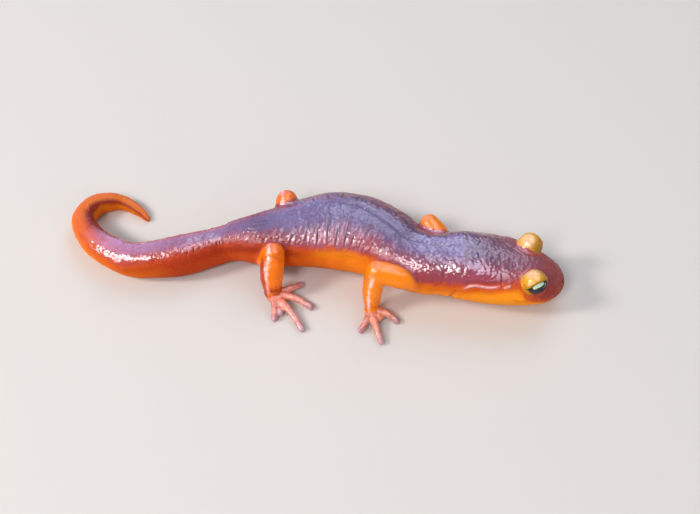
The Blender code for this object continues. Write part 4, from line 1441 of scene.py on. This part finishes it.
# Round the hind legs and the tail's root the belly turns dark red, partly its own colour and partly the
# legs' shadow painted in.
BELLY_STOPS = (
    (0, 244, 146, 20), (12, 244, 134, 10), (15, 208, 94, 14), (20, 214, 100, 14), (26, 226, 116, 12),
    (34, 228, 126, 10), (50, 218, 122, 4), (52.5, 196, 88, 6), (56, 150, 48, 12), (62, 134, 36, 12),
    (66, 134, 36, 12), (71, 156, 42, 10), (80, 166, 48, 12), (86, 196, 76, 6), (90, 222, 98, 6),
    (98, 224, 102, 8), (121, 224, 116, 0),
)
UNDERSIDE_STOPS = (
    (0, 250, 158, 24), (40, 236, 126, 14), (58, 200, 78, 12), (78, 176, 56, 12), (84, 214, 100, 4),
    (96, 234, 132, 6), (121, 236, 132, 6),
)
EDGE_RED = paint(190, 72, 34)
RUST = paint(194, 70, 20)
# Shares of the way from the back to the orange line.
FLANK_FROM, FLANK_FULL = 0.1, 0.72
RED_FROM, RED_FULL = 0.78, 1.05
# Millimetres below the orange line.
RUST_FULL, RUST_TO = 0.3, 1.9
UNDERSIDE_FROM, UNDERSIDE_FULL = 0.6, 2.8
# The flank's colour wanders by this share, in patches of this frequency.
FLANK_WANDER, FLANK_FREQUENCY = 0.6, 0.45
HOOK_FROM, HOOK_FULL = 96.0, 104.0
RUST_STRENGTH, RUST_MORE_ON_HEAD = 0.25, 0.6


def along_ramp(tree, along, stops):
    ramp = node(tree, "ShaderNodeValToRGB")
    feed(tree, ramp.inputs[0], calculate(tree, "DIVIDE", along, BODY_LENGTH))
    elements = ramp.color_ramp.elements
    elements[0].position, elements[0].color = 0.0, paint(*stops[0][1:])
    elements[1].position, elements[1].color = 1.0, paint(*stops[-1][1:])
    for at, *colour in stops[1:-1]:
        elements.new(at / BODY_LENGTH).color = paint(*colour)
    return ramp.outputs["Color"]


def back_colour(tree, along):
    """Plum above, mauve and wine red on the flank, and red where the orange begins."""
    patchy = minus(tree, cloud(tree, place_in_mm(tree), FLANK_FREQUENCY, detail=5.0), 0.5)
    turn = scaled(tree, patchy, FLANK_WANDER, stored(tree, "turn"))
    back, flank = along_ramp(tree, along, BACK_STOPS), along_ramp(tree, along, FLANK_STOPS)
    back = blend_colours(tree, fade(tree, turn, FLANK_FROM, FLANK_FULL), back, flank)
    off_hook = minus(tree, 1.0, fade(tree, along, HOOK_FROM, HOOK_FULL))
    return blend_colours(tree, times(tree, fade(tree, turn, RED_FROM, RED_FULL), off_hook), back, EDGE_RED)


def belly_colour(tree, along, on_head):
    """Orange, with a rusty seam along the line, strongest on the head."""
    below = stored(tree, "below")
    belly, underside = along_ramp(tree, along, BELLY_STOPS), along_ramp(tree, along, UNDERSIDE_STOPS)
    belly = blend_colours(tree, fade(tree, below, UNDERSIDE_FROM, UNDERSIDE_FULL), belly, underside)
    near_line = minus(tree, 1.0, fade(tree, below, RUST_FULL, RUST_TO))
    rusty = times(tree, near_line, scaled(tree, on_head, RUST_MORE_ON_HEAD, RUST_STRENGTH))
    return blend_colours(tree, rusty, belly, RUST)


print("colour stops along the body:", len(BACK_STOPS + FLANK_STOPS + BELLY_STOPS + UNDERSIDE_STOPS))

# %% [markdown]
# ## Orange legs
# The legs are bright orange with red blotches, redder on the side that faces the tail and at
# the ankle. The toes fade to pink and then to a greyish tip. The pale streak down each lower
# leg is a painted highlight of its wet shine: a plain floor gives an upright leg nothing bright
# to mirror there, so the highlight is painted into the colour.

# %% Colours of legs and toes
FRONT_ORANGE = paint(250, 136, 0)
HIND_ORANGE = paint(246, 120, 4)
LEG_RED = paint(168, 44, 16)
FOOT_RED = paint(170, 70, 44)
TOE_PINK = paint(216, 160, 156)
TOE_GREY = paint(180, 152, 170)
PAINTED_LEG_HIGHLIGHT = paint(250, 210, 204)
# Places down the limb are 1 at the elbow or knee and 2 at the wrist or ankle.
PAST_KNEE = (0.95, 1.25)
BEFORE_WRIST = (1.9, 2.1)
ON_FOOT = (1.9, 2.2)
ANKLE_AT = 1.92
# Places round the limb are 1 where it faces the tail.
OUTER_FROM = 0.42
# The painted highlight of the wet shine runs at this place round the limb.
STREAK_AT = 0.36
BAND_REACH = 0.1
# How strong the marks are, and what the hind legs add to that.
MOTTLE_STRENGTH, MOTTLE_MORE_BEHIND = 0.12, 0.1
RED_STRENGTH, RED_MORE_BEHIND = 0.3, 0.55
# The painted highlight's strength, and how much higher it begins on the hind legs.
STREAK_STRENGTH = 0.75
STREAK_HIGHER_BEHIND = 0.2
FOOT_STRENGTH = 0.5
# A border below 0 leaves fewer blotches.
MOTTLE_LEVEL = -0.06
FOOT_LEVEL = -0.02
# Each uneven border has a softness, a wander and a frequency.
MOTTLE_BORDER = (0.12, 1.0, 0.45)
OUTER_BORDER = (0.25, 1.1, 0.7)
ANKLE_BORDER = (0.12, 0.5, 0.8)
STREAK_BORDER = (0.12, 0.7, 1.2)
FOOT_BORDER = (0.1, 1.0, 1.3)
TOE_FREQUENCY = 1.2
# How far down the limb a toe's colour begins, how softly, and how strong it is.
TOE_COLOURS = ((2.3, 0.25, 0.5, TOE_PINK), (2.9, 0.35, 0.6, TOE_PINK), (3.28, 0.12, 0.75, TOE_GREY))


def red_on_legs(tree, hind, reach, side):
    """Blotches everywhere, and more red past the knee, on the outer side and at the ankle."""
    mottle = use_group(tree, UNEVEN_EDGE, MOTTLE_LEVEL, *MOTTLE_BORDER)
    mottle = times(tree, mottle, scaled(tree, hind, MOTTLE_MORE_BEHIND, MOTTLE_STRENGTH))
    outer = use_group(tree, UNEVEN_EDGE, minus(tree, side, OUTER_FROM), *OUTER_BORDER)
    ankle = use_group(tree, UNEVEN_EDGE, within(tree, reach, ANKLE_AT, BAND_REACH), *ANKLE_BORDER)
    patch = times(tree, larger(tree, outer, ankle), fade(tree, reach, *PAST_KNEE))
    patch = times(tree, patch, scaled(tree, hind, RED_MORE_BEHIND, RED_STRENGTH))
    return larger(tree, mottle, patch)


def painted_highlight_on_legs(tree, hind, reach, side):
    """The painted highlight, a pale streak, which begins a little higher on the hind legs."""
    painted_streak = use_group(tree, UNEVEN_EDGE, within(tree, side, STREAK_AT, BAND_REACH), *STREAK_BORDER)
    painted_streak = times(tree, painted_streak, fade(tree, scaled(tree, hind, STREAK_HIGHER_BEHIND, reach), *PAST_KNEE))
    return times(tree, painted_streak, minus(tree, 1.0, fade(tree, reach, *BEFORE_WRIST)))


def limb_colour(tree):
    """Orange legs, redder behind, with pale toe tips."""
    hind, reach, side = stored(tree, "hind"), stored(tree, "reach"), stored(tree, "tailward")
    limb = blend_colours(tree, hind, FRONT_ORANGE, HIND_ORANGE)
    limb = blend_colours(tree, red_on_legs(tree, hind, reach, side), limb, LEG_RED)
    painted_streak = times(tree, painted_highlight_on_legs(tree, hind, reach, side), STREAK_STRENGTH)
    limb = blend_colours(tree, painted_streak, limb, PAINTED_LEG_HIGHLIGHT)
    for start, softness, amount, colour in TOE_COLOURS:
        wander = 2.0 * softness
        toe = use_group(tree, UNEVEN_EDGE, minus(tree, reach, start), softness, wander, TOE_FREQUENCY)
        limb = blend_colours(tree, times(tree, toe, amount), limb, colour)
    marks = use_group(tree, UNEVEN_EDGE, FOOT_LEVEL, *FOOT_BORDER)
    marks = times(tree, marks, fade(tree, reach, *ON_FOOT))
    return blend_colours(tree, times(tree, marks, FOOT_STRENGTH), limb, FOOT_RED)


print("colours of the toes:", len(TOE_COLOURS))

# %% [markdown]
# ## Lids, flecks, painted light and creases
# The lids are yellow, with a painted sheen that makes them cream on top and painted shade that
# makes them olive in front. Pale flecks dust the back, thickest on the head, partly the skin's
# own specks and partly painted glints, and every crease is painted darker, as little light gets
# down into it. All of this is mixed over the body and leg colours in one order: lids, flecks,
# painted highlights on wet ridges, painted shade in creases and at the slit's rims.

# %% The skin's colour
LID_YELLOW = paint(222, 166, 6)
PAINTED_LID_SHEEN = paint(236, 188, 134)
PAINTED_LID_SHADE = paint(172, 120, 0)
# Pale flecks are partly the skin's own pale specks and partly painted glints.
PALE_FLECK_AND_GLINT = paint(228, 212, 230)
PAINTED_RIDGE_HIGHLIGHT = paint(240, 190, 196)
CREASE_SHADE = paint(120, 96, 104)
# The slit's rim is painted dark: painted shade where the lid meets the eye.
PAINTED_RIM_SHADE = paint(30, 12, 10)
HEAD_TO, NECK_FROM = 13.0, 22.0
EDGE_SOFTNESS, EDGE_SOFTER_ON_HEAD = 0.7, 0.5
# Wander and frequency of the border between purple and orange.
EDGE_BORDER = (1.8, 1.0)
# Each kind of fleck has a frequency, a size and a share of the cells that hold one.
BODY_FLECKS = (2.1, 0.17, 0.55)
HEAD_FLECKS = (2.8, 0.28, 0.55)
HEAD_FLECK_SHARE = 0.85
LIMB_FLECK_SHARE = 0.5
# What the orange belly loses of the flecks, and of the shade in creases.
BELLY_FLECK_LOSS = 0.6
BELLY_SHADE_LOSS = 0.65
RING_STRENGTH = 0.6
FLECK_STRENGTH = 0.75
RIDGE_HIGHLIGHT_STRENGTH = 0.5


# Yellow lids, with a painted sheen on top and painted shade in front and over the slit.
def lid_colour(tree):
    lid = blend_colours(tree, stored(tree, "lid_sheen_top"), LID_YELLOW, PAINTED_LID_SHEEN)
    return blend_colours(tree, stored(tree, "lid_front_shade"), lid, PAINTED_LID_SHADE)


def fleck_and_glint_share(tree, edge, on_head):
    """Pale dots on back and legs, larger ones on the head, few on the belly; partly specks, partly painted
    glints.
    """
    on_limb = times(tree, stored(tree, "limb"), LIMB_FLECK_SHARE)
    room = larger(tree, scaled(tree, edge, -BELLY_FLECK_LOSS, 1.0), on_limb)
    fleck = times(tree, use_group(tree, FLECKS, *BODY_FLECKS), room)
    speck = times(tree, times(tree, use_group(tree, FLECKS, *HEAD_FLECKS), on_head), room)
    return times(tree, larger(tree, fleck, times(tree, speck, HEAD_FLECK_SHARE)), FLECK_STRENGTH)


def skin_colour(tree):
    along = stored(tree, "along")
    on_head = minus(tree, 1.0, fade(tree, along, HEAD_TO, NECK_FROM))
    softness = scaled(tree, on_head, EDGE_SOFTER_ON_HEAD, EDGE_SOFTNESS)
    edge = use_group(tree, UNEVEN_EDGE, stored(tree, "below"), softness, *EDGE_BORDER)
    body = blend_colours(tree, edge, back_colour(tree, along), belly_colour(tree, along, on_head))
    colour = blend_colours(tree, stored(tree, "limb"), body, limb_colour(tree))
    for share, mixed_in in (
        (times(tree, stored(tree, "lid_ring"), RING_STRENGTH), EDGE_RED),
        (stored(tree, "lid"), lid_colour(tree)),
        (fleck_and_glint_share(tree, edge, on_head), PALE_FLECK_AND_GLINT),
        (times(tree, stored(tree, "gleam"), RIDGE_HIGHLIGHT_STRENGTH), PAINTED_RIDGE_HIGHLIGHT),
    ):
        colour = blend_colours(tree, share, colour, mixed_in)
    crease = times(tree, stored(tree, "hollow"), scaled(tree, edge, -BELLY_SHADE_LOSS, 1.0))
    shaded = blend_colours(tree, 1.0, colour, CREASE_SHADE, "MULTIPLY")
    colour = blend_colours(tree, crease, colour, shaded)
    return blend_colours(tree, stored(tree, "lid_rim"), colour, PAINTED_RIM_SHADE)


# %% [markdown]
# ## The wet film
# Wet skin shines in broken glints, since the film lies in streaks along the body and beads on
# the grain. A coat layer over the colour gives that: its weight is how wet the skin is, times
# two noises. The dry parts below it are rougher. Light also goes a little way into the skin.

# %% Finish of the skin
STREAK_STRETCH = (0.3, 4.5, 0.15)
STREAK_FADE = (0.36, 0.6)
BEAD_FADE = (0.3, 0.64)
BEAD_FREQUENCY = 2.4
# How much film lies everywhere, and what the streaks and the beads add.
BODY_FILM, BODY_STREAKS, BODY_BEADS = 0.33, 0.25, 0.4
LIMB_FILM, LIMB_BEADS = 0.06, 0.35
LID_FILM = 0.22
COAT_SHARE = 0.95
# Depths of pores and of wrinkles, in millimetres, and the frequency of the pores.
GRAIN = (0.05, 0.09, 2.6)
LIMB_GRAIN_LOSS = 0.7
# Roughness under a full film, how much it varies, and what dry skin adds.
WET_ROUGHNESS, ROUGHNESS_SPREAD, DRY_ROUGHNESS = 0.12, 0.2, 0.34
LIMB_DRYNESS_LOSS = 0.8
SHINE_FREQUENCY = 0.8
SKIN_SURFACE = {
    "Subsurface Weight": 0.18,
    "Subsurface Radius": (1.0, 0.35, 0.15),
    "Subsurface Scale": 0.0008,
    "IOR": 1.2,
    "Coat Roughness": 0.16,
    "Coat IOR": 1.85,
}


def body_streaks(tree):
    """Soft noise stretched along the body."""
    across = node(tree, "ShaderNodeSeparateXYZ")
    tree.links.new(place_in_mm(tree), across.inputs[0])
    spot = node(tree, "ShaderNodeCombineXYZ")
    for socket, value, stretch in zip(
        spot.inputs, (stored(tree, "along"), stored(tree, "turn"), across.outputs[1]), STREAK_STRETCH
    ):
        feed(tree, socket, times(tree, value, stretch))
    return cloud(tree, spot.outputs[0], 1.0, detail=5.0)


def wetness(tree):
    """How wet the skin is: the back most, in streaks and beads, legs and lids less."""
    streaks = fade(tree, body_streaks(tree), *STREAK_FADE)
    beads = fade(tree, cloud(tree, place_in_mm(tree), BEAD_FREQUENCY, detail=2.0), *BEAD_FADE)
    broken = scaled(tree, beads, BODY_BEADS, scaled(tree, streaks, BODY_STREAKS, BODY_FILM))
    wet = times(tree, stored(tree, "gloss"), broken)
    limbs = times(tree, stored(tree, "limb"), scaled(tree, beads, LIMB_BEADS, LIMB_FILM))
    for more in (limbs, times(tree, stored(tree, "lid"), LID_FILM), stored(tree, "gleam")):
        wet = larger(tree, wet, more)
    return wet


def finish_skin(material):
    material.use_nodes = True
    tree = material.node_tree
    shader = tree.nodes["Principled BSDF"]
    set_surface(shader, SKIN_SURFACE)
    tree.links.new(skin_colour(tree), shader.inputs["Base Color"])
    limb, wet = stored(tree, "limb"), wetness(tree)
    grain = use_group(tree, WET_GRAIN, *GRAIN)
    grain = times(tree, grain, minus(tree, 1.0, times(tree, limb, LIMB_GRAIN_LOSS)))
    bump = node(tree, "ShaderNodeBump")
    bump.inputs["Distance"].default_value = MM
    tree.links.new(grain, bump.inputs["Height"])
    tree.links.new(bump.outputs["Normal"], shader.inputs["Normal"])
    uneven = cloud(tree, place_in_mm(tree), SHINE_FREQUENCY, detail=3.0)
    smoothest = scaled(tree, uneven, ROUGHNESS_SPREAD, WET_ROUGHNESS)
    dry = times(tree, minus(tree, 1.0, wet), scaled(tree, limb, -LIMB_DRYNESS_LOSS, 1.0))
    tree.links.new(scaled(tree, dry, DRY_ROUGHNESS, smoothest), shader.inputs["Roughness"])
    tree.links.new(times(tree, wet, COAT_SHARE), shader.inputs["Coat Weight"])


finish_skin(skin_material)
skin.data.materials.clear()
skin.data.materials.append(skin_material)
print("nodes in the skin's material:", len(skin_material.node_tree.nodes))

# %% [markdown]
# ## The wet eye
# The eye is nearly black and smooth as glass. The patch of the upper iris ends in an uneven
# border, with a few gold flecks in the dark part round it.

# %% Eye finish
EYE_BLACK = paint(8, 8, 10)
IRIS_PATCH = paint(196, 222, 190)
IRIS_GOLD = paint(190, 150, 50)
PATCH_TOP = 0.54
PATCH_BOTTOM = -0.24
PATCH_BACK = -1.35
PATCH_FRONT = 1.1
# The patch ends softly over these lengths, in millimetres, and its lower border is uneven.
TOP_SOFTNESS, BACK_SOFTNESS, FRONT_SOFTNESS = 0.1, 0.25, 0.2
PATCH_BORDER = (0.1, 0.3, 3.0)
GOLD_FLECKS = (5.0, 0.25, 0.25)
GOLD_STRENGTH = 0.25
EYE_SURFACE = {
    "Roughness": 0.06,
    "Coat Weight": 0.25,
    "Coat Roughness": 0.02,
    "Specular IOR Level": 0.3,
}


def finish_eye(material):
    material.use_nodes = True
    tree = material.node_tree
    shader = tree.nodes["Principled BSDF"]
    set_surface(shader, EYE_SURFACE)
    over, slit = stored(tree, "slit_over"), stored(tree, "slit_along")
    lower = use_group(tree, UNEVEN_EDGE, minus(tree, over, PATCH_BOTTOM), *PATCH_BORDER)
    upper = minus(tree, 1.0, fade(tree, over, PATCH_TOP, PATCH_TOP + TOP_SOFTNESS))
    back_end = fade(tree, slit, PATCH_BACK, PATCH_BACK + BACK_SOFTNESS)
    front_end = minus(tree, 1.0, fade(tree, slit, PATCH_FRONT - FRONT_SOFTNESS, PATCH_FRONT))
    patch = times(tree, times(tree, lower, upper), times(tree, back_end, front_end))
    fleck = times(tree, use_group(tree, FLECKS, *GOLD_FLECKS), GOLD_STRENGTH)
    dark = blend_colours(tree, fleck, EYE_BLACK, IRIS_GOLD)
    tree.links.new(blend_colours(tree, patch, dark, IRIS_PATCH), shader.inputs["Base Color"])


eye_material = bpy.data.materials.new("wet_eye")
finish_eye(eye_material)
for eye in eyes.values():
    eye.data.materials.append(eye_material)
print("nodes in the eye's material:", len(eye_material.node_tree.nodes))

# %% [markdown]
# ## Camera and floor
# The camera looks down on the animal from its right at a slant. It keeps the distance and the
# long lens that give the model the place and size it has in the picture it was built from. A
# plain pale floor takes soft shadows, and it is dull, so that it shows no mirror image.

# %% Camera and floor
CAMERA_PLACE = (0.0029, -0.121852, 0.142888)
CAMERA_SLANT = math.radians(40.0)
SENSOR_WIDTH = 36.0
FOCAL_LENGTH = 936.0
PICTURE_WIDTH = 700.0
FLOOR_REACH = 2.0
FLOOR_SURFACE = {"Base Color": (0.66, 0.64, 0.62, 1.0), "Roughness": 0.9, "Specular IOR Level": 0.0}
camera_data = bpy.data.cameras.new("camera")
camera = new_object("camera", camera_data)
camera.location = CAMERA_PLACE
camera.rotation_euler = (CAMERA_SLANT, 0.0, 0.0)
camera_data.sensor_width = SENSOR_WIDTH
# The focal length is given in pixels of the picture.
camera_data.lens = SENSOR_WIDTH * FOCAL_LENGTH / PICTURE_WIDTH
camera_data.clip_start = 0.005
camera_data.clip_end = 20.0
bpy.context.scene.camera = camera

corners = [(x * FLOOR_REACH, y * FLOOR_REACH, 0) for x, y in ((-1, -1), (1, -1), (1, 1), (-1, 1))]
floor_mesh = bpy.data.meshes.new("floor")
floor_mesh.from_pydata(corners, [], [(0, 1, 2, 3)])
floor = new_object("floor", floor_mesh)
floor_paint = bpy.data.materials.new("floor_paint")
floor_paint.use_nodes = True
set_surface(floor_paint.node_tree.nodes["Principled BSDF"], FLOOR_SURFACE)
floor_mesh.materials.append(floor_paint)
print("lens:", round(camera_data.lens, 1), "mm")

# %% [markdown]
# ## Soft light and a sky to mirror
# Wet skin looks wet only if it has something bright to mirror. Three soft lights and a weak
# fill give the colours and the shadow. Four wide panels, bluish above and paler at the side,
# are seen by the sheen alone, which tints the wet back and leaves the floor plain.

# %% Lights
LAMPS = (
    # name, place, size, power, colour, what it lights
    ("key_light", (-0.57, -0.13, 0.44), 0.17, 3.0, (1.0, 0.95, 0.88), "all"),
    ("front_softbox", (-0.29, -0.49, 0.57), 0.26, 2.6, (1.0, 0.95, 0.96), "all"),
    ("back_softbox", (0.2, 0.5, 0.6), 0.6, 2.2, (0.8, 0.86, 1.0), "all"),
    ("sky_panel", (-0.42, 0.6, 0.58), 1.7, 19.5, (0.44, 0.46, 1.0), "sheen"),
    ("overhead_panel", (0.18, -0.1, 0.87), 0.78, 9.0, (0.84, 0.78, 1.0), "sheen"),
    ("horizon_panel", (-0.7, -0.26, 0.11), 0.3, 2.6, (1.0, 0.9, 0.94), "sheen"),
    ("side_glow", (-0.51, -0.27, 0.48), 0.48, 4.6, (0.94, 0.9, 1.0), "sheen"),
    ("fill_softbox", (0.5, -0.55, 0.3), 0.6, 1.1, (1.0, 0.97, 0.93), "colour"),
)
WORLD_COLOUR = (0.97, 0.98, 1.0, 1.0)
WORLD_STRENGTH = 0.34
for name, place, size, power, colour, lit in LAMPS:
    data = bpy.data.lights.new(name, "AREA")
    data.shape = "DISK"
    data.size = size
    data.energy = power
    data.color = colour
    lamp = new_object(name, data)
    lamp.location = place
    lamp.rotation_euler = (-Vector(place)).to_track_quat("-Z", "Y").to_euler()
    lamp.visible_diffuse = lit != "sheen"
    lamp.visible_glossy = lit != "colour"
world = bpy.data.worlds.new("studio")
world.use_nodes = True
set_surface(world.node_tree.nodes["Background"], {"Color": WORLD_COLOUR, "Strength": WORLD_STRENGTH})
bpy.context.scene.world = world
bpy.context.scene.view_settings.view_transform = "Standard"
print("lights:", len(LAMPS))

# %% [markdown]
# ## Which solids the skin stands for
# The skin replaces every solid of the flesh, and each eye replaces its own ball. All of them
# ride on the same rigid body, because the model is a still one.

# %% Hand over to the frame
skin_nodes = [name for name in frame["nodes"] if not name.startswith("eyeball")]
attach(skin, "root")
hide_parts(*skin_nodes)
for word, eye in eyes.items():
    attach(eye, "root")
    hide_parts(f"eyeball_{word}")
